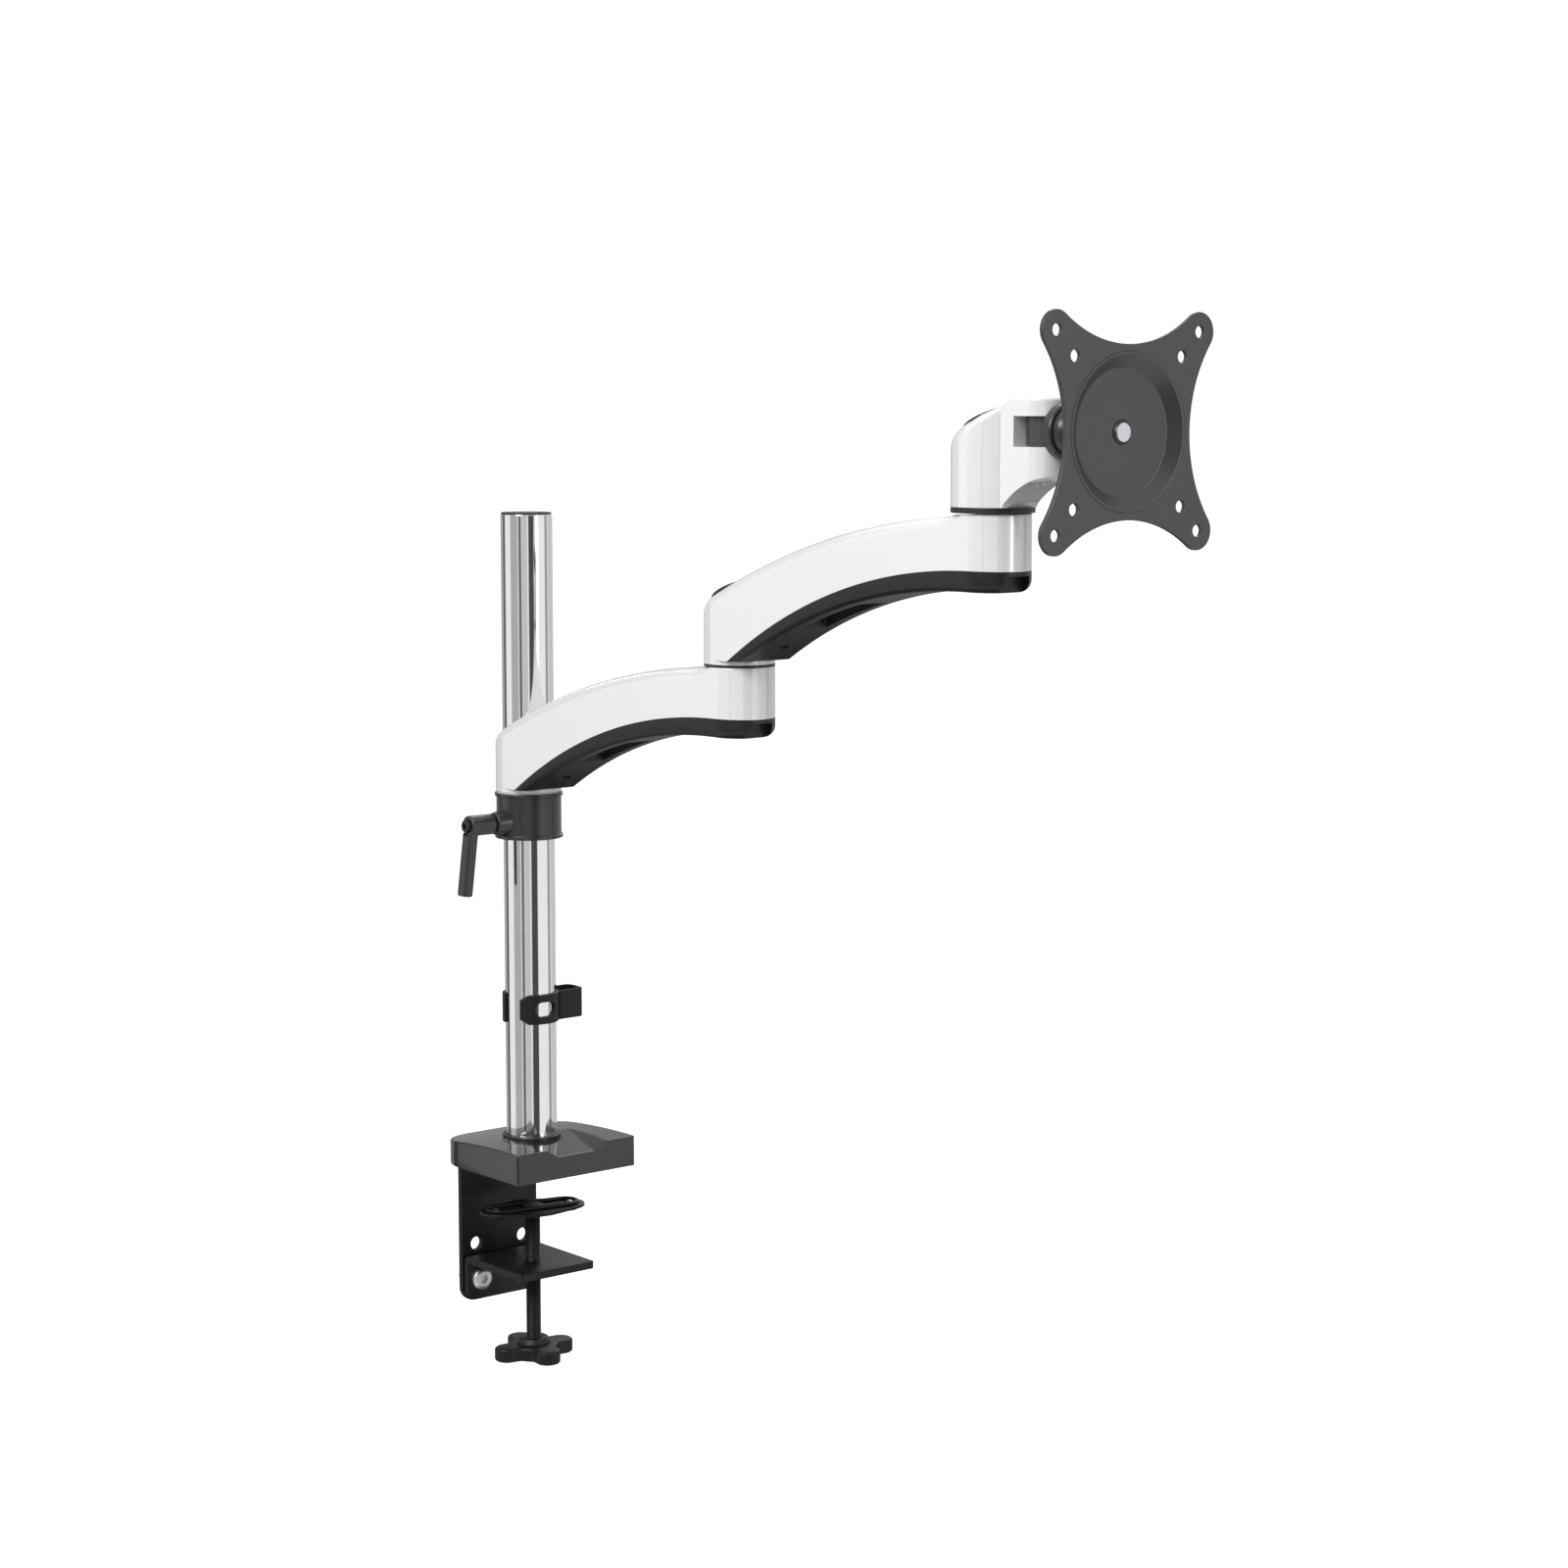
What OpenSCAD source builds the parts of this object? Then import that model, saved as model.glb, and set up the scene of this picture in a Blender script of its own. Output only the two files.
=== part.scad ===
// Desk-clamped monitor arm: pole, two swinging arms, swivel head and screen plate.
// Millimetres. +Z is up, the arms reach along -Y and the clamp opens towards -Y.
// The origin is on the pole axis, at the desk surface that the base rests on.

/* [Base] */
// Width of the base cover
base_w = 90; // [84:1:100]
// Pole axis to the front face of the base cover
base_front = 48.5; // [46:0.5:54]
// Pole axis to the back of the base cover
base_back = 45; // [44.5:0.5:50]
// Radius of the base cover's two back corners
base_corner = 28; // [20:1:30]
// Height of the base cover at its front corners
base_h = 19.5; // [18:0.5:24]

/* [Clamp] */
// Thickness of the bent steel bracket
bracket_t = 4; // [3:0.5:4]
// Width of the bracket's hanging plate
bracket_w = 58.5; // [54:0.5:64]
// How far the hanging plate reaches below the desk surface
bracket_drop = 94; // [92:1:110]
// Pole axis to the front face of the hanging plate
bracket_y = 37; // [35:0.5:37]
// Sideways spacing of the jaw's bolts
bolt_pitch = 36; // [30:1:40]
// Top of the jaw below the desk surface
jaw_drop = 63; // [60:1:66]
// Width of the jaw
jaw_w = 56; // [46:1:58]
// Diameter of the clamp screw
screw_d = 10; // [8:0.5:11]
// Top of the pressure plate below the desk surface
pad_drop = 26.5; // [10:0.5:40]
// How far the pressure plate has swivelled on its screw
pad_turn = -12; // [-20:1:20]
// Width of the knob over its lobes
knob_d = 54; // [46:1:60]

/* [Pole] */
// Diameter of the pole
pole_d = 32; // [32:0.5:32.5]
// Wall of the pole
pole_wall = 2; // [1.5:0.5:3]
// Height of the pole's top above the desk
pole_top = 410; // [380:5:600]
// Height of the cable clip's middle above the desk
clip_z = 101; // [60:1:110]

/* [Collar] */
// Height of the collar's underside above the desk
collar_z = 208.5; // [180:0.5:280]
// Height of the collar
collar_h = 28.5; // [26:0.5:32]
// Diameter of the collar between its two flanges
collar_d = 40.6; // [40:0.2:41]
// How far the hanging lever leans out from the pole, in degrees
lever_lean = 7; // [0:1:12]

/* [Arms] */
// Pivot-to-pivot reach of each arm
arm_reach = 211; // [200:1:216]
// Width of the arms and diameter of their ends
arm_d = 41; // [41:0.5:42]
// Height of an arm from its root's underside to its tip's top
arm_h = 91.4; // [90:0.2:92]
// Thickness of the ring between the two arms
elbow_gap = 1.5; // [1:0.5:3]

/* [Head] */
// Diameter of the head over the wrist
head_d = 44.4; // [43:0.2:46]
// Height of the head
head_h = 56.5; // [56:0.5:60]
// Thickness of the ring under the head
wrist_gap = 3.4; // [2:0.2:4]
// Width of the nose
nose_w = 25; // [24.5:0.5:27]
// Wrist axis to the swivel axis in the nose
nose_reach = 37.5; // [37.5:0.5:40]

/* [Screen plate] */
// Spacing of the outer screw holes
vesa = 100; // [100:1:100]
// Spacing of the inner screw holes
vesa_small = 75; // [75:1:75]
// Diameter of the screw holes
vesa_hole_d = 6.2; // [4.5:0.1:6.5]
// Thickness of the plate
plate_t = 2.4; // [2:0.2:3]
// Depth of the round dish in the plate
dish_depth = 5; // [4:0.5:6]
// Wrist axis to the front face of the plate
plate_reach = 98.2; // [98:0.2:100]

/* [Hidden] */
$fn = 96;

// Fits
run = 0.06;          // radial clearance of a running fit
slack = 0.3;         // gap between pieces that pass each other
over = 1;            // how far a cutter runs past a face

// Base stack, from the desk surface upwards
desk_pad_t = 1.5;
bracket_top = desk_pad_t + bracket_t;
base_plate_t = 4;
base_top = bracket_top + base_plate_t;
bend_r = 5;
leg_front = -32;
cover_wall = 2.5;
cover_lift = 0.3;
cover_dome_r = 650;  // radius of the cover's fore-and-aft crown
cover_dome_y = -40;
cover_screw_x = 33;
cover_screw_y = -34;
scoop_floor = 14;
scoop_half = 13;
scoop_end_y = -6;

// Clamp
bolt_hole_r = 4.25;
open_hole_z = -57;
jaw_bolt_z = -79;
jaw_t = 5;
jaw_front = -27.5;
jaw_leg_y = bracket_y - bracket_t;
pad_t = 2;
pad_top = -pad_drop;
pad_bead = 2;
pad_floor = pad_top - pad_bead;
strap_t = 2;
tip_r = 4;
tip_head_r = 5.2;
rivet_x = 25.5;
knob_top = -117;
knob_t = 9;
knob_hub = 4;
knob_turn = -7.5;
screw_bottom = -122;

// Pole and clip
pole_r = pole_d / 2;
clip_h = 18.5;
clip_wall = 1.8;
clip_gap_start = 211;
clip_gap = 40;

// Collar and lever
bush_wall = 1.7;
flange_h = 2.4;
flange_over = 1;
lever_z = collar_z + 10.3;
boss_x = -27;
hub_r = 6.4;
hub_in = -28.5;
hub_out = -46;
bore_r = 3;
spline_r = 4.6;
spline_end = -38;
spring_seat = -40.5;
cap_head = -45.5;
cap_out = -48.6;
blade_x = -43.5;
blade_w = 7.4;
blade_d = 8.8;
blade_len = 44;

// Arms, in a frame whose origin is the underside of the root on its pivot
arm_z = collar_z + collar_h + 1;
elbow_z = arm_z + arm_h + elbow_gap;
arm_r = arm_d / 2;
rim_h = 2.5;
crown_r = 560;       // top line
crown_y = -(arm_reach + 22);
crown_z = arm_h + 0.3 - crown_r;
belly_r = 370;       // seam line between shell and cover, and the underside
belly_y = -(arm_reach + 5);
seam_h = 62;
seam_z = seam_h - belly_r;
under_y = belly_y + 10;
under_h = seam_h - 11.5;
under_z = under_h - belly_r;
arm_round = 6;
shell_wall = 3.2;
cover_t = 2.2;
seam_gap = 0.15;
hub_out_r = arm_r - 1.7;
tip_boss_r = 12;
screw_ys = [-38, -170];      // cover screws along the arm
screw_seats = [15, 53];      // and the height of their seats
cable_slot = [66, 116, 9];   // start, end and half width of the cable opening
pin_r = 8;
pin_root = 20.4;
bush_r = 11;
well_r = 14.5;
well_floor = 20;
washer_t = 2;
nut_h = 8;
thread_r = 5;
plug_r = 16.2;
plug_deep = 3;
plug_proud = 2.6;
big_fn = 360;

// Head, in a frame whose origin is its underside on the wrist axis
head_z = elbow_z + arm_h + wrist_gap;
head_r = head_d / 2;
head_y = -2 * arm_reach;
slope_back = 31.5;   // height of the sloped top 30 mm behind the wrist axis
slope_run = 56;
slope_rise = 24.2;
slope_angle = atan(slope_rise / slope_run);
nose_r = nose_w / 2;
nose_under = 17.5;
arch_r = 57;
arch_y = -60;
slot_mid = 39.4;
slot_h = 15.6;
slot_back = -28.2;
barrel_r = 9;
swivel_head_r = 3.9;
swivel_r = 3;
cup_back = 13.1;     // in front of the swivel axis
cup_r = 14.5;
cup_len = 6.4;
ring_len = 5.6;
ball_r = 9.5;
ball_out = 23.5;     // ball centre in front of the swivel axis
neck_r = 5.5;
plate_z = head_z + slot_mid;
plate_y = head_y - plate_reach;
dish_back = dish_depth + plate_t;
stud_r = 4.75;
stud_flange_r = 13;
stud_washer_t = 1;
plate_bush_r = 6.3;
lobe_r = 10;
waist = 43.6;        // plate centre to the middle of each hollow edge

// A rod along X from x0 to x1
module rod_x(r, x0, x1) translate([x0, 0, 0]) rotate([0, 90, 0]) cylinder(r = r, h = x1 - x0);

// A rod along Y from y0 to y1
module rod_y(r, y0, y1) translate([0, y0, 0]) rotate([-90, 0, 0]) cylinder(r = r, h = y1 - y0);

// An outline in X and Z, stretched along Y from y0 to y1
module along_y(y0, y1) translate([0, y1, 0]) rotate([90, 0, 0]) linear_extrude(y1 - y0) children();

// An outline in Y and Z, stretched along X and centred
module across_x(w) rotate([90, 0, 90]) linear_extrude(w, center = true) children();

// A ring of square section standing on XY
module tube(r_out, r_in, h) difference() {
    cylinder(r = r_out, h = h);
    translate([0, 0, -over]) cylinder(r = r_in, h = h + 2 * over);
}

// A hexagon across its flats
module hexagon(across, h) cylinder(r = across / sqrt(3), h = h, $fn = 6);

// A countersunk screw whose head is flush at z = 0 and points down
module countersunk(r, head_r, len, socket) difference() {
    union() {
        cylinder(r = r, h = len);
        cylinder(r1 = head_r, r2 = r, h = head_r - r);
    }
    translate([0, 0, -over]) hexagon(socket, over + 0.6 * (head_r - r));
}

// Room for such a screw, through a sheet that starts at z = 0
module sink(r, head_r, h) {
    cylinder(r = r, h = h + over);
    cylinder(r1 = head_r, r2 = r, h = head_r - r);
    translate([0, 0, -over]) cylinder(r = head_r, h = over);
}

// ---- Base ----

bracket_screw_at = [[-20, -22], [20, -22], [-20, 22], [20, 22]];

// Thin pad stuck under the bracket, over the screw heads
module desk_pad() color("#202022")
    translate([-bracket_w / 2, leg_front, 0]) cube([bracket_w, bracket_y - 4 - leg_front, desk_pad_t]);

// Bent steel: a leg under the base plate and a plate hanging behind the desk's edge
module clamp_bracket() color("#1b1b1d") difference() {
    intersection() {
        across_x(bracket_w) {
            translate([leg_front, desk_pad_t]) square([bracket_y + bracket_t - bend_r - leg_front, bracket_t]);
            translate([bracket_y, -bracket_drop])
                square([bracket_t, bracket_drop + bracket_top - bend_r]);
            translate([bracket_y + bracket_t - bend_r, bracket_top - bend_r]) intersection() {
                difference() {
                    circle(bend_r);
                    circle(bend_r - bracket_t);
                }
                square(bend_r);
            }
        }
        along_y(leg_front - over, bracket_y + bracket_t + over) bracket_face();
    }
    translate([0, 0, desk_pad_t]) sink(4.2, 7.5, bracket_t);
    for (p = bracket_screw_at) translate([p.x, p.y, desk_pad_t]) sink(3.2, 5.8, bracket_t);
    for (x = [-bolt_pitch / 2, bolt_pitch / 2], z = [open_hole_z, jaw_bolt_z])
        translate([x, 0, z]) rod_y(bolt_hole_r, bracket_y - over, bracket_y + bracket_t + over);
}

// Outline of the bracket from the front, with its lower corners rounded
module bracket_face() {
    round = 9.5;
    translate([-bracket_w / 2, round - bracket_drop]) square([bracket_w, bracket_drop + bracket_top]);
    translate([round - bracket_w / 2, -bracket_drop]) square([bracket_w - 2 * round, bracket_drop]);
    for (s = [-1, 1]) translate([s * (bracket_w / 2 - round), round - bracket_drop]) circle(round);
}

module base_plate() color("#3a3b3e") difference() {
    translate([0, 0, bracket_top]) linear_extrude(base_plate_t) intersection() {
        translate([-40, -43]) square([80, 78]);
        base_outline(cover_wall + 0.5);
    }
    translate([0, 0, bracket_top - over]) cylinder(r = 4.2, h = base_plate_t + 2 * over);
    for (p = bracket_screw_at) translate([p.x, p.y, bracket_top - over])
        cylinder(r = 3, h = base_plate_t + 2 * over);
    for (s = [-1, 1]) translate([s * cover_screw_x, cover_screw_y, bracket_top - over])
        cylinder(r = 1.8, h = base_plate_t + 2 * over);
}

module bracket_screws() color("#8c8f94")
    for (p = bracket_screw_at) translate([p.x, p.y, desk_pad_t])
        countersunk(3, 5.6, bracket_t + base_plate_t, 4);

module pole_bolt() color("#8c8f94") translate([0, 0, desk_pad_t]) countersunk(4, 7.3, 26, 5);

// Threaded plug pressed into the foot of the pole
module pole_insert() color("#9a9ca0") translate([0, 0, base_top]) tube(pole_r - pole_wall, 4, 22);

// Outline of the base cover from above, drawn in by a given amount
module base_outline(inset) {
    r = base_corner - inset;
    half = base_w / 2 - inset;
    back = base_back - inset;
    front = base_front - inset;
    translate([-half, -front]) square([2 * half, front + back - r]);
    translate([r - half, -front]) square([2 * (half - r), front + back]);
    for (s = [-1, 1]) translate([s * (half - r), back - r]) circle(r);
}

// Everything below the cover's crown, drawn in by a given amount
module under_dome(inset) translate([0, cover_dome_y, base_h - cover_dome_r])
    rod_x(cover_dome_r - inset, -base_w, base_w, $fn = big_fn);

// The scoop in front of the pole: a sloping floor with slanted sides that fan out to the back
module scoop(inset) hull() {
    translate([0, -base_front - 2, 0]) scoop_section(scoop_floor - inset, scoop_half - inset);
    translate([0, scoop_end_y, 0]) scoop_section(base_h - 1.5 - inset, 2 * scoop_half - inset);
}

module scoop_section(floor_z, half) along_y(0, 0.1)
    polygon([[-half, floor_z], [half, floor_z], [half + 15, floor_z + 9], [-half - 15, floor_z + 9]]);

module base_cover() color("#2a2a2d") difference() {
    union() {
        difference() {
            cover_body(0);
            cover_body(cover_wall);
        }
        intersection() {
            union() {
                for (s = [-1, 1]) translate([s * cover_screw_x, cover_screw_y, base_top])
                    cylinder(r = 4.5, h = base_h);
                translate([0, 0, base_top + 4]) cylinder(r = pole_r + 5, h = base_h);
            }
            cover_body(0.5);
        }
    }
    translate([0, 0, cover_lift]) cylinder(r = pole_r + 2.5, h = base_h + over);
    translate([-bracket_w / 2, 0, -over]) cube([bracket_w, bracket_y + bracket_t, bracket_top + over]);
    for (s = [-1, 1]) translate([s * cover_screw_x, cover_screw_y, 0]) cylinder(r = 1.5, h = 15);
}

module cover_body(inset) difference() {
    intersection() {
        translate([0, 0, inset > 0 ? -over : cover_lift]) linear_extrude(base_h + over) base_outline(inset);
        under_dome(inset);
    }
    scoop(inset);
}

module cover_screws() color("#8c8f94")
    for (s = [-1, 1]) translate([s * cover_screw_x, cover_screw_y, bracket_top - 2]) {
        cylinder(r = 3, h = 2);
        cylinder(r = 1.5, h = 11);
    }

// Rubber ring that closes the cover's hole round the pole
module foot_ring() color("#141415") translate([0, 0, base_top + 4.5])
    tube(pole_r + 2.5, pole_r, base_h - 1.2 - base_top - 4.5 + 1.2);

module pole() color("#c9cdd2") translate([0, 0, base_top])
    tube(pole_r, pole_r - pole_wall, pole_top - base_top);

module pole_cap() color("#161617") {
    translate([0, 0, pole_top]) cylinder(r = pole_r - 0.3, h = 1.2);
    translate([0, 0, pole_top - 12]) cylinder(r = pole_r - pole_wall, h = 12);
}

// Springy split ring with a hook for cables on its right
module cable_clip() color("#2c2c2f") translate([0, 0, clip_z - clip_h / 2]) difference() {
    union() {
        rotate_extrude(angle = 360 - clip_gap, start = clip_gap_start)
            translate([pole_r + run, 0]) square([clip_wall, clip_h]);
        linear_extrude(clip_h) clip_hook();
    }
    translate([0, 0, clip_h / 2]) along_y(-pole_r - 6, -6) {
        square([6, 9.4], center = true);
        for (s = [-1, 1]) translate([3 * s, 0]) circle(4.7);
    }
}

module clip_hook() {
    difference() {
        rounded_box([18.3, -10.5], [34.3, 6.5], 4);
        rounded_box([18.3 + clip_wall, -10.5 + clip_wall], [34.3 - clip_wall, 6.5 - clip_wall], 2.4);
        translate([16, -5]) square([7, 13]);
    }
    translate([14.6, -10.5]) square([6, clip_wall]);
}

// A rectangle from corner a to corner b with rounded corners
module rounded_box(a, b, r) {
    translate([a.x + r, a.y]) square([b.x - a.x - 2 * r, b.y - a.y]);
    translate([a.x, a.y + r]) square([b.x - a.x, b.y - a.y - 2 * r]);
    for (x = [a.x + r, b.x - r], y = [a.y + r, b.y - r]) translate([x, y]) circle(r);
}

// ---- Clamp ----

// Bent jaw: a shelf that carries the screw and a leg bolted to the bracket
module clamp_jaw() color("#1b1b1d") difference() {
    across_x(jaw_w) {
        translate([jaw_front, -jaw_drop - jaw_t]) square([bracket_y - 6 - jaw_front, jaw_t]);
        translate([jaw_leg_y, -bracket_drop + 4])
            square([bracket_y - jaw_leg_y, bracket_drop - 4 - jaw_drop - 6]);
        translate([bracket_y - 6, -jaw_drop - 6]) intersection() {
            difference() {
                circle(6);
                circle(6 - bracket_t);
            }
            square(6);
        }
        translate([bracket_y - 8, -jaw_drop - jaw_t]) square([4, jaw_t - 1]);
    }
    translate([0, 0, -jaw_drop - jaw_t - over]) cylinder(r = screw_d / 2 + run, h = jaw_t + 2 * over);
    for (s = [-1, 1]) translate([s * bolt_pitch / 2, 0, jaw_bolt_z])
        rod_y(bolt_hole_r, jaw_leg_y - over, bracket_y + over);
}

module jaw_bolts() color("#b9bcc0")
    for (s = [-1, 1]) translate([s * bolt_pitch / 2, 0, jaw_bolt_z]) difference() {
        union() {
            rod_y(4, jaw_leg_y - 1, bracket_y + bracket_t + 8);
            rod_y(7, jaw_leg_y - 3, jaw_leg_y);
            translate([0, jaw_leg_y - 3, 0]) rotate([90, 0, 0]) cylinder(r1 = 7, r2 = 5, h = 1.4);
        }
        translate([0, jaw_leg_y - 4.4 - over, 0]) rotate([-90, 0, 0]) hexagon(5, 3 + over);
    }

module jaw_nuts() color("#b9bcc0")
    for (s = [-1, 1]) translate([s * bolt_pitch / 2, bracket_y + bracket_t, jaw_bolt_z])
        rotate([-90, 0, 0]) difference() {
            hexagon(13, 6.5);
            translate([0, 0, -over]) cylinder(r = 4, h = 6.5 + 2 * over);
        }

// A slot-shaped outline along X
module slot_outline(half_len, r) {
    for (s = [-1, 1]) translate([s * (half_len - r), 0]) circle(r);
    square([2 * (half_len - r), 2 * r], center = true);
}

// An oval: a middle circle joined by tangents to a smaller circle at each end
module oval_outline(mid_r, end_r, end_x) {
    lean = asin((mid_r - end_r) / end_x);
    tangent_mid = [mid_r * sin(lean), mid_r * cos(lean)];
    tangent_end = [end_x + end_r * sin(lean), end_r * cos(lean)];
    circle(mid_r);
    for (s = [-1, 1]) translate([s * end_x, 0]) circle(end_r);
    polygon([
        [-tangent_end.x, -tangent_end.y], [-tangent_mid.x, -tangent_mid.y],
        [tangent_mid.x, -tangent_mid.y], [tangent_end.x, -tangent_end.y],
        [tangent_end.x, tangent_end.y], [tangent_mid.x, tangent_mid.y],
        [-tangent_mid.x, tangent_mid.y], [-tangent_end.x, tangent_end.y]
    ]);
}

module pressure_plate() color("#161618") rotate([0, 0, pad_turn]) difference() {
    union() {
        translate([0, 0, pad_floor - pad_t]) linear_extrude(pad_t) oval_outline(21, 13, 22);
        translate([0, 0, pad_floor - pad_t]) linear_extrude(pad_t + pad_bead) difference() {
            slot_outline(31.5, 9.5);
            slot_outline(28.5, 6.5);
        }
        translate([0, 0, pad_floor - pad_t]) cylinder(r = 7, h = pad_t + 1.4);
    }
    translate([0, 0, pad_floor - pad_t - over]) cylinder(r = tip_head_r + slack, h = pad_t + over + 0.4);
    for (s = [-1, 1]) translate([s * rivet_x, 0, pad_floor - pad_t - over])
        cylinder(r = 1.6, h = pad_t + 2 * over);
}

// Strap riveted under the pressure plate, which keeps the screw's tip in it
module swivel_strap() color("#161618") rotate([0, 0, pad_turn])
    translate([0, 0, pad_floor - pad_t - strap_t]) difference() {
        linear_extrude(strap_t) slot_outline(30.5, 7.5);
        translate([0, 0, -over]) cylinder(r = tip_r + run, h = strap_t + 2 * over);
        for (s = [-1, 1]) translate([s * rivet_x, 0, -over]) cylinder(r = 1.6, h = strap_t + 2 * over);
    }

module pad_rivets() color("#c4c6ca") rotate([0, 0, pad_turn])
    for (s = [-1, 1]) translate([s * rivet_x, 0, pad_floor - pad_t - strap_t]) {
        cylinder(r = 1.6, h = pad_t + strap_t);
        translate([0, 0, pad_t + strap_t]) cylinder(r1 = 2.6, r2 = 1.6, h = 1);
        translate([0, 0, -1]) cylinder(r1 = 1.6, r2 = 2.6, h = 1);
    }

module clamp_screw() color("#19191b") {
    strap_low = pad_floor - pad_t - strap_t;
    translate([0, 0, screw_bottom]) cylinder(r = screw_d / 2, h = strap_low - slack - screw_bottom);
    translate([0, 0, strap_low - slack - over]) cylinder(r = tip_r, h = strap_t + slack + over + 0.4);
    translate([0, 0, strap_low + strap_t + 0.2]) cylinder(r = tip_head_r, h = pad_t);
}

module knob_outline() {
    lobe = 8;
    circle(15);
    for (k = [0, 1]) rotate(90 * k) slot_outline(knob_d / 2, lobe);
}

module clamp_knob() color("#141416") rotate([0, 0, knob_turn]) difference() {
    union() {
        translate([0, 0, knob_top - knob_t]) linear_extrude(knob_t) knob_outline();
        translate([0, 0, knob_top]) cylinder(r1 = 11, r2 = 8, h = knob_hub);
    }
    translate([0, 0, screw_bottom]) cylinder(r = screw_d / 2, h = 40);
    translate([0, 0, screw_bottom]) hexagon(17, nut_h);
}

// Steel nut moulded into the knob
module knob_nut() color("#8c8f94") rotate([0, 0, knob_turn]) translate([0, 0, screw_bottom])
    difference() {
        hexagon(17, nut_h);
        translate([0, 0, -over]) cylinder(r = screw_d / 2, h = nut_h + 2 * over);
    }

// ---- Collar and its lever ----

module height_collar() color("#2a2a2c") difference() {
    union() {
        translate([0, 0, collar_z]) cylinder(r = collar_d / 2, h = collar_h);
        for (z = [collar_z, collar_z + collar_h - flange_h]) translate([0, 0, z])
            cylinder(r = collar_d / 2 + flange_over, h = flange_h);
        translate([boss_x, 0, lever_z]) rotate([0, 90, 0]) cylinder(r1 = 6.8, r2 = 9.4, h = 12);
    }
    translate([0, 0, collar_z - over]) cylinder(r = pole_r + bush_wall, h = collar_h + 2 * over);
    translate([0, 0, lever_z]) rod_x(bore_r + run, boss_x - over, 0);
}

module collar_bush() color("#e6e4dc") difference() {
    translate([0, 0, collar_z]) tube(pole_r + bush_wall, pole_r + run, collar_h);
    translate([0, 0, lever_z]) rod_x(bore_r, -pole_r - 4, 0);
}

// Soft shoe between the lever's stud and the pole
module brake_shoe() color("#d8b23a") intersection() {
    translate([0, 0, lever_z]) rod_x(bore_r, -pole_r - bush_wall, -pole_r + 2);
    translate([0, 0, collar_z]) tube(pole_r + bush_wall, pole_r + run, collar_h);
}

module swivel_washer() color("#dcdcda") translate([0, 0, collar_z + collar_h])
    tube(arm_r - 0.5, pole_r + run, arm_z - collar_z - collar_h);

module lever_stud() color("#a9acb1") translate([0, 0, lever_z]) difference() {
    union() {
        rod_x(bore_r, boss_x - over, -pole_r - bush_wall);
        rod_x(spline_r, spline_end, boss_x - over);
    }
    rod_x(2, spline_end - over, -31);
}

module lever_screw() color("#2e2e31") translate([0, 0, lever_z]) difference() {
    union() {
        rod_x(2, cap_head - over, -31);
        rod_x(3.8, cap_out, cap_head);
    }
    translate([cap_out - over, 0, 0]) rotate([0, 90, 0]) hexagon(3, over + 1.8);
}

// Spring that pulls the handle back onto the splined stud
module lever_spring() color("#b4b7bb") translate([cap_head, 0, lever_z]) rotate([0, 90, 0])
    tube(3.7, 2.3, spring_seat - cap_head);

module lever_handle() color("#1d1d1f") translate([0, 0, lever_z]) difference() {
    union() {
        rod_x(hub_r, hub_out, hub_in);
        translate([blade_x, 0, 0]) rotate([0, lever_lean, 0])
            translate([-blade_w / 2, -blade_d / 2, -blade_len]) cube([blade_w, blade_d, blade_len]);
    }
    rod_x(spline_r + run, spline_end - 0.5, hub_in + over);
    rod_x(2.3, spring_seat - over, spline_end);
    rod_x(4.1, hub_out - 4, spring_seat);
}

// ---- Arms ----

// The arm's plan: a slot shape from the root pivot to the tip pivot
module arm_plan(r) {
    circle(r);
    translate([0, -arm_reach]) circle(r);
    translate([-r, -arm_reach]) square([2 * r, arm_reach]);
}

// Profile of a ring: radial from r0 to r1, with the corners at r1 rounded
module ring_profile(r0, r1, half, round) {
    dir = sign(r1 - r0);
    side = dir > 0 ? r0 : r1 + round;
    translate([side, -half]) square([abs(r1 - r0) - round, 2 * half]);
    tip = dir > 0 ? r0 : r1;
    translate([tip, round - half]) square([abs(r1 - r0), 2 * (half - round)]);
    for (s = [-1, 1]) translate([r1 - dir * round, s * (half - round)]) circle(round, $fn = 48);
}

// Stretch of such a ring about an axis along X, around its highest line
module over_arc(r0, r1, half, round) rotate([0, 90, 0])
    rotate_extrude(angle = 60, start = 145, $fn = big_fn) ring_profile(r0, r1, half, round);

// Below the arm's top line, drawn in by a given amount
module under_crown(inset) translate([0, crown_y, crown_z])
    over_arc(crown_r - 160, crown_r - inset, arm_r, arm_round);

// Below the seam line, drawn in by a given amount
module under_seam(inset) intersection() {
    translate([0, belly_y, seam_z]) rod_x(belly_r - inset, -arm_d, arm_d, $fn = big_fn);
    translate([-arm_d, -arm_reach - arm_d, rim_h + inset]) cube([2 * arm_d, arm_reach + arm_d, seam_h]);
}

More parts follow.
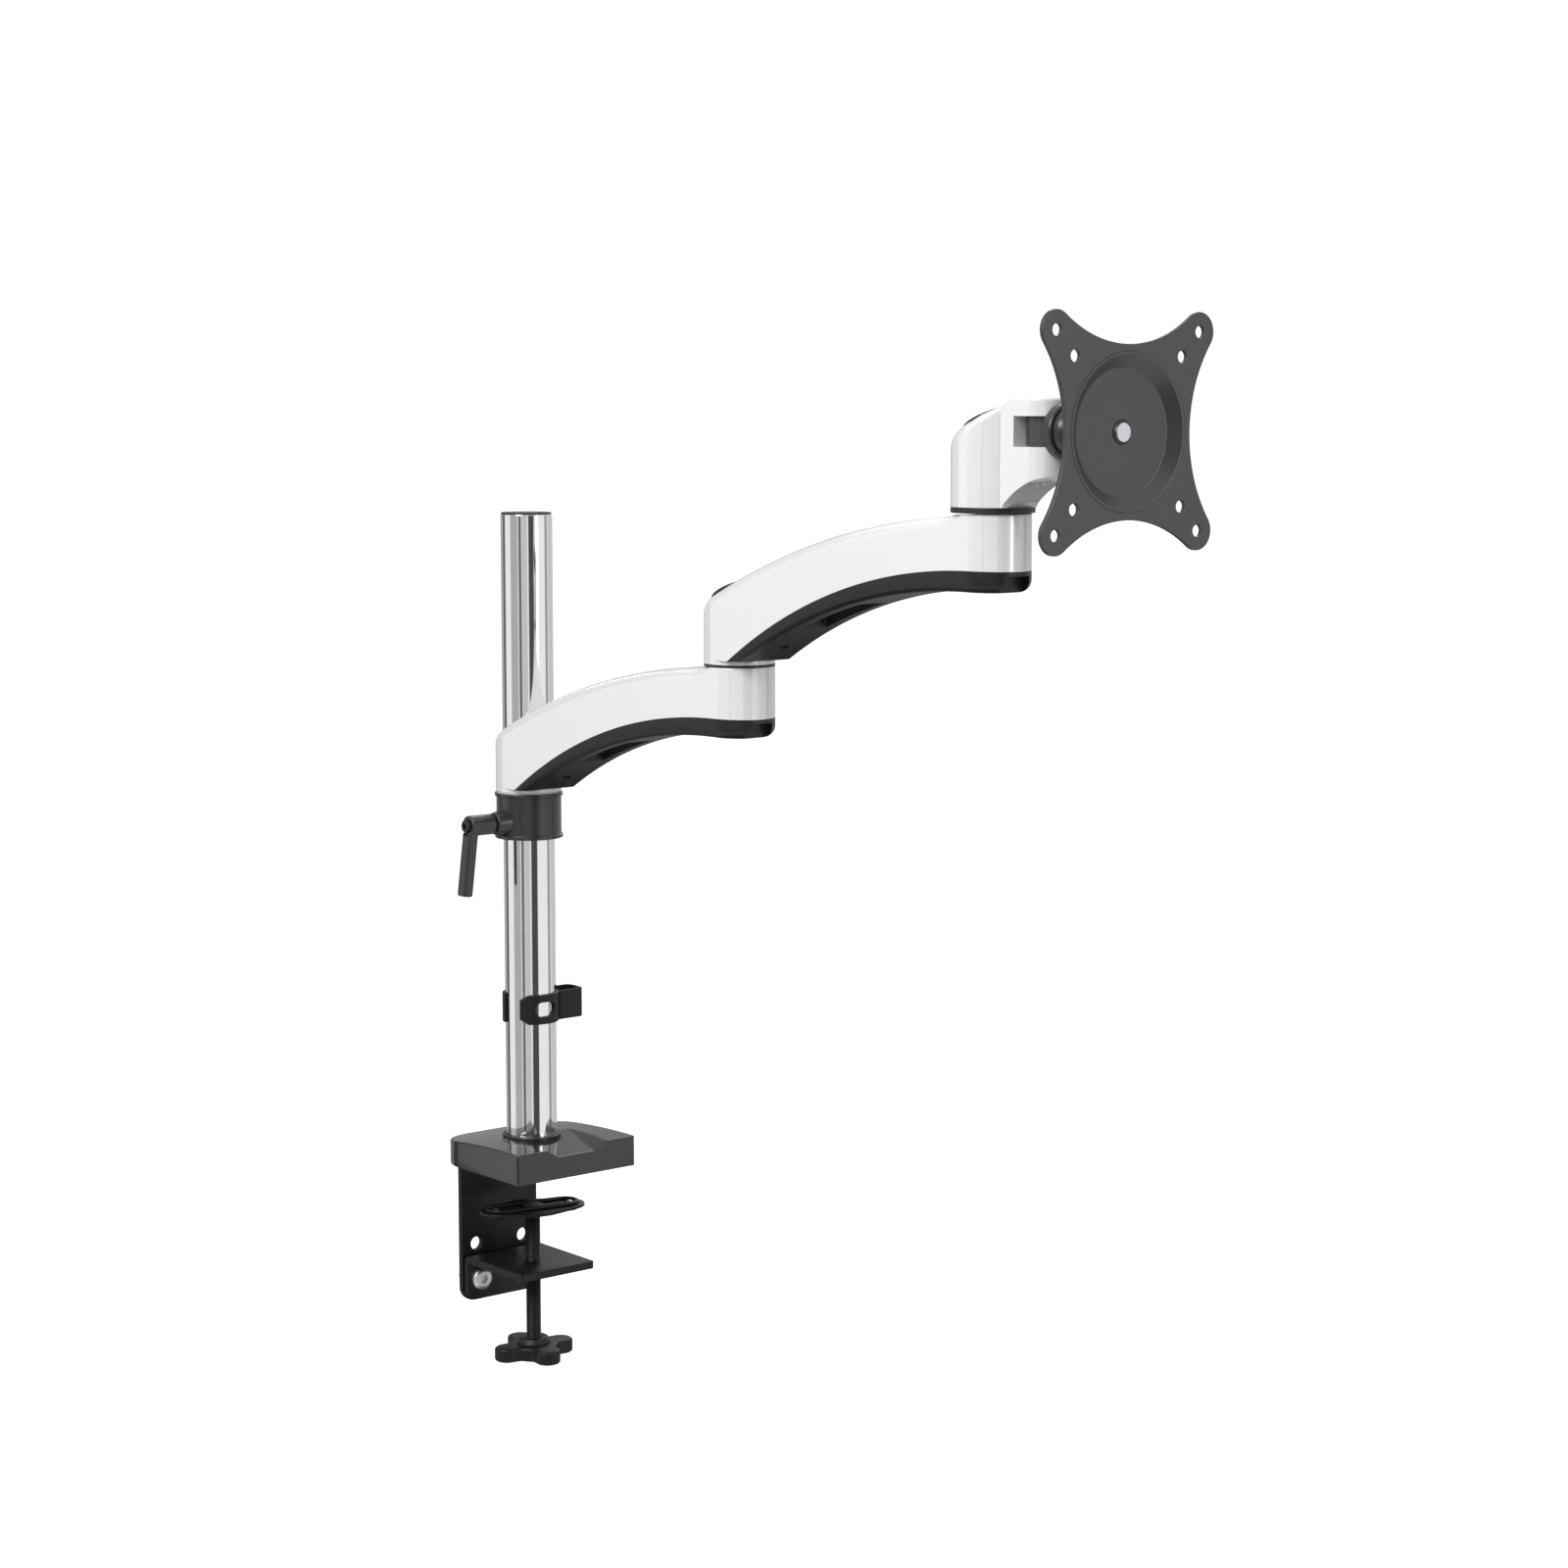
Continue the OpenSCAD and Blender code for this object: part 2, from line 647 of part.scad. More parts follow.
// White aluminium casting, open underneath
module arm_shell() difference() {
    union() {
        difference() {
            union() {
                intersection() {
                    translate([0, 0, rim_h]) linear_extrude(arm_h - rim_h) arm_plan(arm_r);
                    under_crown(0);
                }
                cylinder(r = arm_r, h = rim_h + 0.5);
                translate([0, -arm_reach, seam_h - 6]) cylinder(r = arm_r, h = arm_h - seam_h + 6);
            }
            under_seam(0);
            intersection() {
                half = arm_r - shell_wall;
                translate([-half, -arm_reach + arm_r + 3, 0]) cube([2 * half, arm_reach - 2 * arm_r - 6, arm_h]);
                translate([0, crown_y, crown_z]) rod_x(crown_r - shell_wall, -arm_d, arm_d, $fn = big_fn);
            }
        }
        cylinder(r = hub_out_r, h = 24);
        translate([0, -arm_reach, under_h + 5.5]) cylinder(r = tip_boss_r, h = 10);
        intersection() {
            for (i = [0, 1]) translate([0, screw_ys[i], screw_seats[i] + 3]) cylinder(r = 4, h = arm_h);
            translate([0, crown_y, crown_z]) rod_x(crown_r - 1, -arm_d, arm_d, $fn = big_fn);
        }
    }
    translate([0, -arm_reach, 0]) cylinder(r = pin_r, h = arm_h + over);
    for (i = [0, 1]) translate([0, screw_ys[i], screw_seats[i]]) cylinder(r = 2, h = 14);
}

// Outside of the cover: the space between the seam and the underside, with a rounded tip
module cover_solid(inset) intersection() {
    under_seam(inset > 0 ? -over : seam_gap);
    union() {
        intersection() {
            translate([0, 0, rim_h]) linear_extrude(arm_h) difference() {
                arm_plan(arm_r - inset);
                translate([0, -arm_reach - arm_d / 2]) square(arm_d, center = true);
            }
            translate([0, under_y, under_z])
                over_arc(belly_r + 90, belly_r + inset, arm_r - inset, arm_round);
        }
        translate([0, -arm_reach, 0]) rotate_extrude() intersection() {
            translate([0, under_h + inset]) square([arm_r - inset, 20]);
            union() {
                translate([0, under_h]) square([arm_r - 8, 20]);
                translate([0, under_h + 8]) square([arm_r, 20]);
                translate([arm_r - 8, under_h + 8]) circle(8 - inset);
            }
        }
    }
}

// Black cover that closes the arm's underside over the cables
module arm_cover() difference() {
    union() {
        difference() {
            cover_solid(0);
            cover_solid(cover_t);
        }
        intersection() {
            for (i = [0, 1]) translate([0, screw_ys[i], 0]) cylinder(r = 5.5, h = screw_seats[i] + 2.8);
            cover_solid(0);
        }
    }
    translate([0, 0, -over]) cylinder(r = hub_out_r + 0.1, h = arm_h);
    for (i = [0, 1]) translate([0, screw_ys[i], 0]) {
        cylinder(r = 2.2, h = arm_h);
        cylinder(r = 4, h = screw_seats[i]);
    }
    translate([-cable_slot[2], -cable_slot[1], 0])
        cube([2 * cable_slot[2], cable_slot[1] - cable_slot[0], arm_h]);
    translate([-9, -arm_reach - arm_r - over, under_h - over]) cube([18, arm_r - 8, 10]);
}

module arm_cover_screws() for (i = [0, 1]) translate([0, screw_ys[i], screw_seats[i]]) {
    cylinder(r = 2, h = 13);
    difference() {
        translate([0, 0, -2.6]) cylinder(r1 = 2.6, r2 = 3.6, h = 2.6);
        translate([0, 0, -2.6 - over]) hexagon(2.5, over + 1.6);
    }
}

// Steel pivot pressed into the tip of an arm, which the next piece turns on
module pivot_pin(gap) translate([0, -arm_reach, 0]) {
    top = arm_h + gap + pin_root;
    translate([0, 0, under_h + 3.5]) cylinder(r = pin_r + 2, h = 2);
    translate([0, 0, under_h + 5.5]) cylinder(r = pin_r, h = top - under_h - 5.5);
    translate([0, 0, top]) cylinder(r = thread_r, h = washer_t + nut_h + 1.5);
}

module pivot_ring(r, gap) translate([0, -arm_reach, arm_h]) tube(r, pin_r, gap);

module pivot_washer(gap) translate([0, -arm_reach, arm_h + gap + pin_root])
    tube(12.5, thread_r, washer_t);

module pivot_nut(gap) translate([0, -arm_reach, arm_h + gap + pin_root + washer_t]) difference() {
    hexagon(17, nut_h);
    translate([0, 0, -over]) cylinder(r = thread_r, h = nut_h + 2 * over);
}

module pivot_bush() tube(bush_r, pin_r + run, well_floor);

// Bore for the bush and well for the washer and nut
module root_well() {
    translate([0, 0, -over]) cylinder(r = bush_r, h = well_floor + 2 * over);
    translate([0, 0, well_floor]) cylinder(r = well_r, h = arm_h);
}

module lower_arm_place() translate([0, 0, arm_z]) children();

module upper_arm_place() translate([0, -arm_reach, elbow_z]) children();

module head_place() translate([0, head_y, head_z]) children();

module lower_arm_shell() color("#eceded") lower_arm_place() difference() {
    arm_shell();
    translate([0, 0, -over]) cylinder(r = pole_r + bush_wall - 0.3, h = arm_h);
}

module lower_arm_cover() color("#303033") lower_arm_place() arm_cover();

module lower_cover_screws() color("#6f7176") lower_arm_place() arm_cover_screws();

module lower_arm_bush() color("#e6e4dc") lower_arm_place() intersection() {
    tube(pole_r + bush_wall - 0.3, pole_r + run, arm_h);
    translate([0, crown_y, crown_z]) rod_x(crown_r - 1.5, -arm_d, arm_d, $fn = big_fn);
}

module elbow_pin() color("#a9acb1") lower_arm_place() pivot_pin(elbow_gap);

module elbow_ring() color("#1c1c1e") lower_arm_place() pivot_ring(arm_r, elbow_gap);

module elbow_washer() color("#b9bcc0") lower_arm_place() pivot_washer(elbow_gap);

module elbow_nut() color("#b9bcc0") lower_arm_place() pivot_nut(elbow_gap);

module upper_arm_shell() color("#eceded") upper_arm_place() difference() {
    arm_shell();
    root_well();
    plug_space(plug_r + 0.1, plug_deep + 0.2, 10);
}

// A round space in the top of an arm's root, from a depth below its top line to a height above
module plug_space(r, deep, high) intersection() {
    cylinder(r = r, h = arm_h);
    translate([0, crown_y, crown_z]) difference() {
        rod_x(crown_r + high, -arm_d, arm_d, $fn = big_fn);
        rod_x(crown_r - deep, -arm_d - over, arm_d + over, $fn = big_fn);
    }
}

module upper_arm_cover() color("#303033") upper_arm_place() arm_cover();

module upper_cover_screws() color("#6f7176") upper_arm_place() arm_cover_screws();

module upper_arm_plug() color("#1c1c1e") upper_arm_place() plug_space(plug_r, plug_deep, plug_proud);

module elbow_bush() color("#e6e4dc") upper_arm_place() pivot_bush();

module wrist_pin() color("#a9acb1") upper_arm_place() pivot_pin(wrist_gap);

module wrist_ring() color("#1c1c1e") upper_arm_place() pivot_ring(head_r, wrist_gap);

module wrist_washer() color("#b9bcc0") upper_arm_place() pivot_washer(wrist_gap);

module wrist_nut() color("#b9bcc0") upper_arm_place() pivot_nut(wrist_gap);

// ---- Head ----

// A slab parallel to the head's sloped top, between two heights from it
module slope_slab(low, high) translate([0, 30, slope_back]) rotate([-slope_angle, 0, 0])
    translate([-40, -90, low]) cube([80, 110, high - low]);

module head_shell() color("#eceded") head_place() difference() {
    intersection() {
        union() {
            cylinder(r = head_r, h = head_h);
            linear_extrude(head_h) nose_plan();
        }
        across_x(2 * head_d) polygon([
            [head_d, 0], [head_d, slope_back + slope_rise * (30 - head_d) / slope_run],
            [30, slope_back], [30 - slope_run, slope_back + slope_rise], [-33, head_h],
            [-2 * head_d, head_h], [-2 * head_d, 0]
        ]);
    }
    translate([0, arch_y, nose_under - arch_r]) rod_x(arch_r, -head_d, head_d, $fn = 180);
    translate([-head_d, -nose_reach - head_d, slot_mid - slot_h / 2])
        cube([2 * head_d, nose_reach + head_d + slot_back, slot_h]);
    root_well();
    intersection() {
        cylinder(r = plug_r + 0.1, h = 2 * head_h);
        slope_slab(-plug_deep - 0.2, 20);
    }
    translate([0, -nose_reach, -over]) {
        cylinder(r = swivel_r, h = slot_mid + slot_h / 2 + 5);
        cylinder(r = swivel_head_r + 0.3, h = nose_under + 6);
    }
}

// Plan of the nose, from the wrist axis to its round end
module nose_plan() {
    translate([-nose_r, -nose_reach]) square([nose_w, nose_reach]);
    translate([0, -nose_reach]) circle(nose_r);
}

module head_plug() color("#1c1c1e") head_place() intersection() {
    cylinder(r = plug_r, h = 2 * head_h);
    slope_slab(-plug_deep, plug_proud);
}

module wrist_bush() color("#e6e4dc") head_place() pivot_bush();

// Screw up through the nose, which the barrel swivels on
module swivel_screw() color("#8c8f94") head_place() translate([0, -nose_reach, 0]) difference() {
    head_low = nose_under + 1;
    union() {
        translate([0, 0, head_low]) cylinder(r = swivel_head_r, h = nose_under + 5 - head_low - over + 1);
        translate([0, 0, nose_under + 3]) cylinder(r = swivel_r, h = slot_mid + slot_h / 2 - nose_under);
    }
    translate([0, 0, head_low - over]) hexagon(3, over + 2.5);
}

// Moves its children to the swivel axis, at the height of the ball
module swivel_place() head_place() translate([0, -nose_reach, slot_mid]) children();

// Turns its children so that their +Z points forwards, along -Y
module forwards() rotate([90, 0, 0]) children();

module swivel_barrel() color("#77797d") swivel_place() difference() {
    union() {
        translate([0, 0, 0.2 - slot_h / 2]) cylinder(r = barrel_r, h = slot_h - 0.4);
        forwards() cylinder(r = 6.5, h = cup_back);
    }
    translate([0, 0, -slot_h]) cylinder(r = swivel_r + run, h = 2 * slot_h);
}

// Cup whose round seat holds the back of the ball
module socket_cup() color("#232325") swivel_place() forwards() difference() {
    translate([0, 0, cup_back]) {
        cylinder(r1 = cup_r - 0.8, r2 = cup_r, h = 0.8);
        translate([0, 0, 0.8]) cylinder(r = cup_r, h = cup_len - 0.8);
    }
    translate([0, 0, ball_out]) sphere(ball_r + run);
    translate([0, 0, cup_back + 3]) cylinder(r1 = 6.5, r2 = 10.6, h = cup_len - 3 + 0.01);
}

// Cone screwed on the cup, which keeps the ball in
module socket_ring() color("#2c2c2f") swivel_place() forwards() difference() {
    translate([0, 0, cup_back + cup_len]) cylinder(r1 = cup_r, r2 = 10.9, h = ring_len);
    translate([0, 0, ball_out]) sphere(ball_r + run);
}

module ball_stud() color("#8f9298") swivel_place() forwards() {
    flange_front = plate_reach - nose_reach - dish_back - stud_washer_t;
    floor_front = plate_reach - nose_reach - dish_depth;
    translate([0, 0, ball_out]) sphere(ball_r);
    translate([0, 0, ball_out + 4]) cylinder(r = neck_r, h = flange_front - ball_out - 4);
    translate([0, 0, flange_front - 8]) cylinder(r1 = neck_r, r2 = 9, h = 6);
    translate([0, 0, flange_front - 2]) cylinder(r = stud_flange_r, h = 2);
    translate([0, 0, flange_front]) cylinder(r = stud_r, h = floor_front - flange_front);
    translate([0, 0, floor_front]) cylinder(r1 = 5.1, r2 = stud_r, h = 1.5);
}

module stud_washer() color("#e6e4dc") swivel_place() forwards()
    translate([0, 0, plate_reach - nose_reach - dish_back - stud_washer_t])
        tube(15, stud_r, stud_washer_t);

// Outline of the screen plate: four lobes joined by hollow edges that meet them smoothly
module plate_outline() {
    c = vesa / 2;
    hollow_r = (pow(c, 2) + pow(waist - c, 2) - pow(lobe_r, 2)) / (2 * (lobe_r + c - waist));
    hollow_c = waist + hollow_r;
    reach = lobe_r / (lobe_r + hollow_r);
    touch = [c - c * reach, c + (hollow_c - c) * reach];
    difference() {
        union() {
            square(vesa, center = true);
            square(2 * touch, center = true);
            square(2 * [touch.y, touch.x], center = true);
            for (x = [-c, c], y = [-c, c]) translate([x, y]) circle(lobe_r);
        }
        for (a = [0, 90, 180, 270]) rotate(a) translate([0, hollow_c]) circle(hollow_r);
    }
}

module vesa_plate() color("#565658") translate([0, plate_y, plate_z]) rotate([-90, 0, 0]) {
    rim = 38.5;
    floor_r = 32;
    linear_extrude(plate_t) difference() {
        plate_outline();
        circle(rim);
        for (d = [vesa, vesa_small], x = [-d / 2, d / 2], y = [-d / 2, d / 2])
            translate([x, y]) circle(vesa_hole_d / 2);
    }
    rotate_extrude() polygon([
        [rim + 1.2, plate_t], [rim, plate_t], [rim, 0], [floor_r, dish_depth], [plate_bush_r, dish_depth],
        [plate_bush_r, dish_back], [floor_r + 1.2, dish_back]
    ]);
}

module plate_bush() color("#19191b") translate([0, plate_y, plate_z]) rotate([-90, 0, 0])
    translate([0, 0, dish_depth]) tube(plate_bush_r, stud_r + run, plate_t);

// ---- Every node ----

desk_pad();
clamp_bracket();
base_plate();
bracket_screws();
pole_bolt();
pole_insert();
base_cover();
cover_screws();
foot_ring();
pole();
pole_cap();
cable_clip();
clamp_jaw();
jaw_bolts();
jaw_nuts();
pressure_plate();
swivel_strap();
pad_rivets();
clamp_screw();
clamp_knob();
knob_nut();
height_collar();
collar_bush();
brake_shoe();
swivel_washer();
lever_stud();
lever_screw();
lever_spring();
lever_handle();
lower_arm_shell();
lower_arm_cover();
lower_cover_screws();
lower_arm_bush();
elbow_pin();
elbow_ring();
elbow_washer();
elbow_nut();
upper_arm_shell();
upper_arm_cover();
upper_cover_screws();
upper_arm_plug();
elbow_bush();
wrist_pin();
wrist_ring();
wrist_washer();
wrist_nut();
head_shell();
head_plug();
wrist_bush();
swivel_screw();
swivel_barrel();
socket_cup();
socket_ring();
ball_stud();
stud_washer();
vesa_plate();
plate_bush();
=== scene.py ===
import math

import bmesh
import bpy
from mathutils import Matrix, Vector


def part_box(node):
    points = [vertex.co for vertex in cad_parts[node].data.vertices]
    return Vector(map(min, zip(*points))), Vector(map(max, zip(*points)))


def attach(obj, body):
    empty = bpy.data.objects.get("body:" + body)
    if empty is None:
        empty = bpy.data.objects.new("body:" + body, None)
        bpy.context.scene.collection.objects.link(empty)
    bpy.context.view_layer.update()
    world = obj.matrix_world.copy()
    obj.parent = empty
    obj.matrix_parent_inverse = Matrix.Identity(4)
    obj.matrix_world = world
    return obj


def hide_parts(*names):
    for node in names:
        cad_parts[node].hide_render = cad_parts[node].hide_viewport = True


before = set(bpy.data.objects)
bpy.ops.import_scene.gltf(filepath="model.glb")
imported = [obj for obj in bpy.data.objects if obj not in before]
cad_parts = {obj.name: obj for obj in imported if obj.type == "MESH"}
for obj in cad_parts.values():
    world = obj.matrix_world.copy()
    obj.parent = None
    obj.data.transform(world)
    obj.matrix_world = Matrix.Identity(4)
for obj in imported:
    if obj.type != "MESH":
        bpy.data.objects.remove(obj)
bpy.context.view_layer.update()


# ---- Studio ----
# A pale floor under the arm, a white surround and soft lamps: one from the left
# and above, one from the front and one behind. Grey sheets all round stand for the
# dark parts of a room, which the chrome and the gloss mirror.
def standing(name, data):
    """An object in the scene for a mesh, a lamp or a camera."""
    made = bpy.data.objects.new(name, data)
    bpy.context.scene.collection.objects.link(made)
    return made


def on_circle(radius, turn, x=0, y=0):
    """A point on a circle round (x, y), at a turn in radians."""
    return (x + radius * math.cos(turn), y + radius * math.sin(turn))


lens = bpy.data.cameras.new("view")
lens.lens = 75.576
lens.sensor_width = 36
lens.clip_end = 200
camera = standing("view", lens)
camera.location = (-1.17718, -1.67898, 0.485)
camera.rotation_euler = (math.radians(83.210), 0, math.radians(-39.501))
bpy.context.scene.camera = camera

surround = bpy.data.worlds.new("surround")
surround.use_nodes = True
sky = surround.node_tree
sky.nodes["Background"].inputs["Color"].default_value = (1, 1, 1, 1)
rays = sky.nodes.new("ShaderNodeLightPath")
mirrored_glow = 0.92
glow = None
for kind, change in (("Is Camera Ray", 0.13), ("Is Diffuse Ray", -0.42)):
    adds = sky.nodes.new("ShaderNodeMath")
    adds.operation = "MULTIPLY_ADD"
    sky.links.new(rays.outputs[kind], adds.inputs[0])
    adds.inputs[1].default_value = change
    adds.inputs[2].default_value = mirrored_glow
    if glow:
        sky.links.new(glow, adds.inputs[2])
    glow = adds.outputs[0]
sky.links.new(glow, sky.nodes["Background"].inputs["Strength"])
bpy.context.scene.world = surround
bpy.context.scene.view_settings.view_transform = "Standard"


def lamp(name, place, aim, width, height, power):
    """A soft lamp that faces its aim and stays out of the view."""
    light = bpy.data.lights.new(name, "AREA")
    light.shape = "RECTANGLE"
    light.size = width
    light.size_y = height
    light.energy = power
    holder = standing(name, light)
    holder.location = place
    holder.rotation_euler = (Vector(aim) - Vector(place)).to_track_quat("-Z", "Y").to_euler()
    holder.visible_camera = False


lamp("key", (-2.2, -0.7, 1.9), (0, -0.25, 0.25), 1.2, 1.2, 52)
lamp("fill", (0.6, -2.7, 0.9), (0, -0.25, 0.25), 0.4, 1.6, 9)
lamp("rim", (1.6, 1.4, 1.4), (0, -0.2, 0.3), 0.6, 1.6, 8)


def screen(name, corners, glow):
    """A sheet out of the view that the bright and glossy surfaces mirror."""
    mesh = bpy.data.meshes.new(name)
    mesh.from_pydata(corners, [], [(0, 1, 2, 3)])
    card = bpy.data.materials.new(name)
    card.use_nodes = True
    shader = card.node_tree.nodes["Principled BSDF"]
    shader.inputs["Base Color"].default_value = (0, 0, 0, 1)
    shader.inputs["Specular IOR Level"].default_value = 0
    shader.inputs["Emission Color"].default_value = (1, 1, 1, 1)
    shader.inputs["Emission Strength"].default_value = glow
    mesh.materials.append(card)
    made = standing(name, mesh)
    made.visible_camera = False
    made.visible_shadow = False


sheet_away = 3.2
sheet_foot, sheet_head = -2.2, 2.2
for name, first, last, glow in (
        ("sheet_a", 101, 124, 0.14), ("sheet_b", 158, 194, 0.45), ("sheet_c", 198, 211, 0.16),
        ("sheet_d", 213, 237, 0.6), ("sheet_e", 243, 271, 0.07), ("sheet_f", 323, 338, 0.33),
        ("sheet_g", 343, 385, 0.62), ("sheet_h", 29, 98, 0.4)):
    near, far = [on_circle(sheet_away, math.radians(bearing)) for bearing in (first, last)]
    screen(name, [(*near, sheet_foot), (*far, sheet_foot), (*far, sheet_head), (*near, sheet_head)], glow)
screen("sheet_low", [(-0.4, -0.6, -1.3), (3.4, -0.6, -1.3), (3.4, 3.4, -1.3), (-0.4, 3.4, -1.3)], 0.08)


# ---- Pole ----
# A steel tube, drawn and bright chromed, 32 mm across. It stands on the base and
# is closed by a moulded black cap pushed into its top.
class Reading:
    """A value at each point of a finish. Sums written on it add Math nodes."""

    def __init__(self, finish, socket):
        self.finish = finish
        self.socket = socket

    def sum(self, operation, first, second):
        return self.finish.node("ShaderNodeMath", {"operation": operation}, {0: first, 1: second})

    def __add__(self, other):
        return self.sum("ADD", self, other)

    def __mul__(self, other):
        return self.sum("MULTIPLY", self, other)

    __radd__ = __add__
    __rmul__ = __mul__


class Finish:
    """One of the arm's finishes, as a material made of nodes."""

    def __init__(self, name, metallic=0.0, coat=0.0, coat_roughness=0.05, specular=0.5):
        self.material = bpy.data.materials.new(name)
        self.material.use_nodes = True
        self.tree = self.material.node_tree
        self.shader = self.tree.nodes["Principled BSDF"]
        self.shader.inputs["Metallic"].default_value = metallic
        self.shader.inputs["Coat Weight"].default_value = coat
        self.shader.inputs["Coat Roughness"].default_value = coat_roughness
        self.shader.inputs["Specular IOR Level"].default_value = specular
        self.place = self.node("ShaderNodeTexCoord", {}, {}, "Object")

    def node(self, kind, settings, inputs, output=0):
        made = self.tree.nodes.new(kind)
        for setting, value in settings.items():
            setattr(made, setting, value)
        for name, value in inputs.items():
            if isinstance(value, Reading):
                self.tree.links.new(value.socket, made.inputs[name])
            else:
                made.inputs[name].default_value = value
        return Reading(self, made.outputs[output])

    def stretched(self, x, y, z):
        return self.node("ShaderNodeMapping", {}, {"Vector": self.place, "Scale": (x, y, z)})

    def noise(self, scale, detail=3.0, rough=0.5, place=None):
        return self.node("ShaderNodeTexNoise", {}, {
            "Vector": place or self.place, "Scale": scale, "Detail": detail, "Roughness": rough})

    def feed(self, name, value):
        self.tree.links.new(value.socket, self.shader.inputs[name])

    def colour(self, share, first, second):
        """Colours the surface from the first colour to the second, by share."""
        self.feed("Base Color", self.node("ShaderNodeMix", {"data_type": "RGBA"}, {
            0: share, 6: (*first, 1), 7: (*second, 1)}, 2))

    def bump(self, height, depth, strength=1.0):
        """Raises the surface by height, where a height of 1 stands depth millimetres proud."""
        self.feed("Normal", self.node("ShaderNodeBump", {}, {
            "Height": height, "Strength": strength, "Distance": depth * 0.001}))


def rounded(corners, radii, steps=4, closed=True):
    """The outline through the corners, each rounded to its radius, in millimetres."""
    line = []
    for place, corner in enumerate(corners):
        radius = radii[place] if isinstance(radii, (list, tuple)) else radii
        here = Vector(corner)
        if radius <= 0 or not closed and place in (0, len(corners) - 1):
            line.append(here)
            continue
        back = Vector(corners[place - 1]) - here
        ahead = Vector(corners[(place + 1) % len(corners)]) - here
        half = back.angle(ahead) / 2
        if half > 1.55:
            line.append(here)
            continue
        cut = min(radius / math.tan(half), 0.48 * back.length, 0.48 * ahead.length)
        radius = cut * math.tan(half)
        start = here + back.normalized() * cut
        end = here + ahead.normalized() * cut
        centre = here + (back.normalized() + ahead.normalized()).normalized() * (radius / math.sin(half))
        first = math.atan2(*(start - centre).yx)
        swing = (math.atan2(*(end - centre).yx) - first + math.pi) % (2 * math.pi) - math.pi
        for step in range(steps + 1):
            turn = first + swing * step / steps
            line.append(centre + Vector(on_circle(radius, turn)))
    return line


def turned(profile, steps=96):
    """A turned body about Z. Its profile is a line of (radius, height), closed or from axis to axis."""
    form = bmesh.new()
    rings = []
    for radius, height in profile:
        count = steps if radius > 1e-6 else 1
        rings.append([form.verts.new((*on_circle(radius, 2 * math.pi * k / steps), height))
                      for k in range(count)])
    around = profile[0][0] > 1e-6
    for low, high in zip(rings, rings[1:] + ([rings[0]] if around else [])):
        for k in range(steps):
            corners = [low[k % len(low)], low[(k + 1) % len(low)],
                       high[(k + 1) % len(high)], high[k % len(high)]]
            corners = [v for i, v in enumerate(corners) if v not in corners[:i]]
            if len(corners) > 2:
                form.faces.new(corners)
    bmesh.ops.recalc_face_normals(form, faces=form.faces)
    return form


def bar(radius, low, high, edge=0.4, steps=96):
    """A turned rod with rounded ends' edges."""
    return turned(rounded([(0, low), (radius, low), (radius, high), (0, high)], edge, closed=False), steps)


def tube(outer, inner, low, high, edge=0.4, steps=96):
    """A turned ring with rounded edges."""
    return turned(rounded([(inner, low), (outer, low), (outer, high), (inner, high)], edge), steps)


def moved(form, *places):
    """The form set in place by one or more matrices, the last one first."""
    for place in reversed(places):
        form.transform(place)
    return form


def mesh_of(name, form):
    """The form as a mesh. The form itself is used up."""
    mesh = bpy.data.meshes.new(name)
    form.to_mesh(mesh)
    form.free()
    return mesh


def joined(*forms):
    """Several forms as one."""
    whole = bmesh.new()
    for form in forms:
        held = mesh_of("held", form)
        whole.from_mesh(held)
        bpy.data.meshes.remove(held)
    return whole


def worked(made):
    """The object's mesh with its modifiers worked in."""
    graph = bpy.context.evaluated_depsgraph_get()
    return bpy.data.meshes.new_from_object(made.evaluated_get(graph))


def at(x, y, z):
    return Matrix.Translation((x, y, z))


def tipped(degrees, axis):
    return Matrix.Rotation(math.radians(degrees), 4, axis)


def piece(name, form, finish, body, node, sharp=32):
    """Makes a finished piece from a form in millimetres. It stands for one of the frame's nodes."""
    bmesh.ops.scale(form, vec=(0.001, 0.001, 0.001), verts=form.verts)
    bmesh.ops.remove_doubles(form, verts=form.verts, dist=1e-6)
    bmesh.ops.dissolve_degenerate(form, dist=1e-7, edges=form.edges)
    mesh = mesh_of(name, form)
    mesh.shade_smooth()
    mesh.set_sharp_from_angle(angle=math.radians(sharp))
    made = standing(name, mesh)
    even = made.modifiers.new("even", "WEIGHTED_NORMAL")
    even.keep_sharp = True
    settled = worked(made)
    made.modifiers.clear()
    made.data = settled
    settled.materials.clear()
    settled.materials.append(finish.material)
    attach(made, body)
    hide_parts(node)


def carried(finish, *nodes):
    """Gives a finish to pieces whose shape is already right."""
    for node in nodes:
        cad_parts[node].data.materials.clear()
        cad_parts[node].data.materials.append(finish.material)


def height(node, end):
    """The lowest (0) or highest (1) level of a node, in millimetres."""
    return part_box(node)[end].z * 1000


chrome = Finish("bright_chrome", metallic=1.0)
drawn = chrome.noise(60, 4, 0.6, chrome.stretched(30, 30, 0.6))
cloud = chrome.noise(22, 3, 0.55)
chrome.colour(cloud, (0.80, 0.81, 0.83), (0.88, 0.885, 0.89))
chrome.feed("Roughness", 0.05 + 0.05 * cloud + 0.03 * drawn)
chrome.bump(drawn, 0.004, 0.25)

trim = Finish("black_trim")
grain = trim.noise(2600, 2, 0.6)
patch = trim.noise(30, 3)
trim.colour(patch, (0.009, 0.009, 0.010), (0.016, 0.016, 0.017))
trim.feed("Roughness", 0.36 + 0.14 * patch)
trim.bump(grain, 0.02, 0.35)

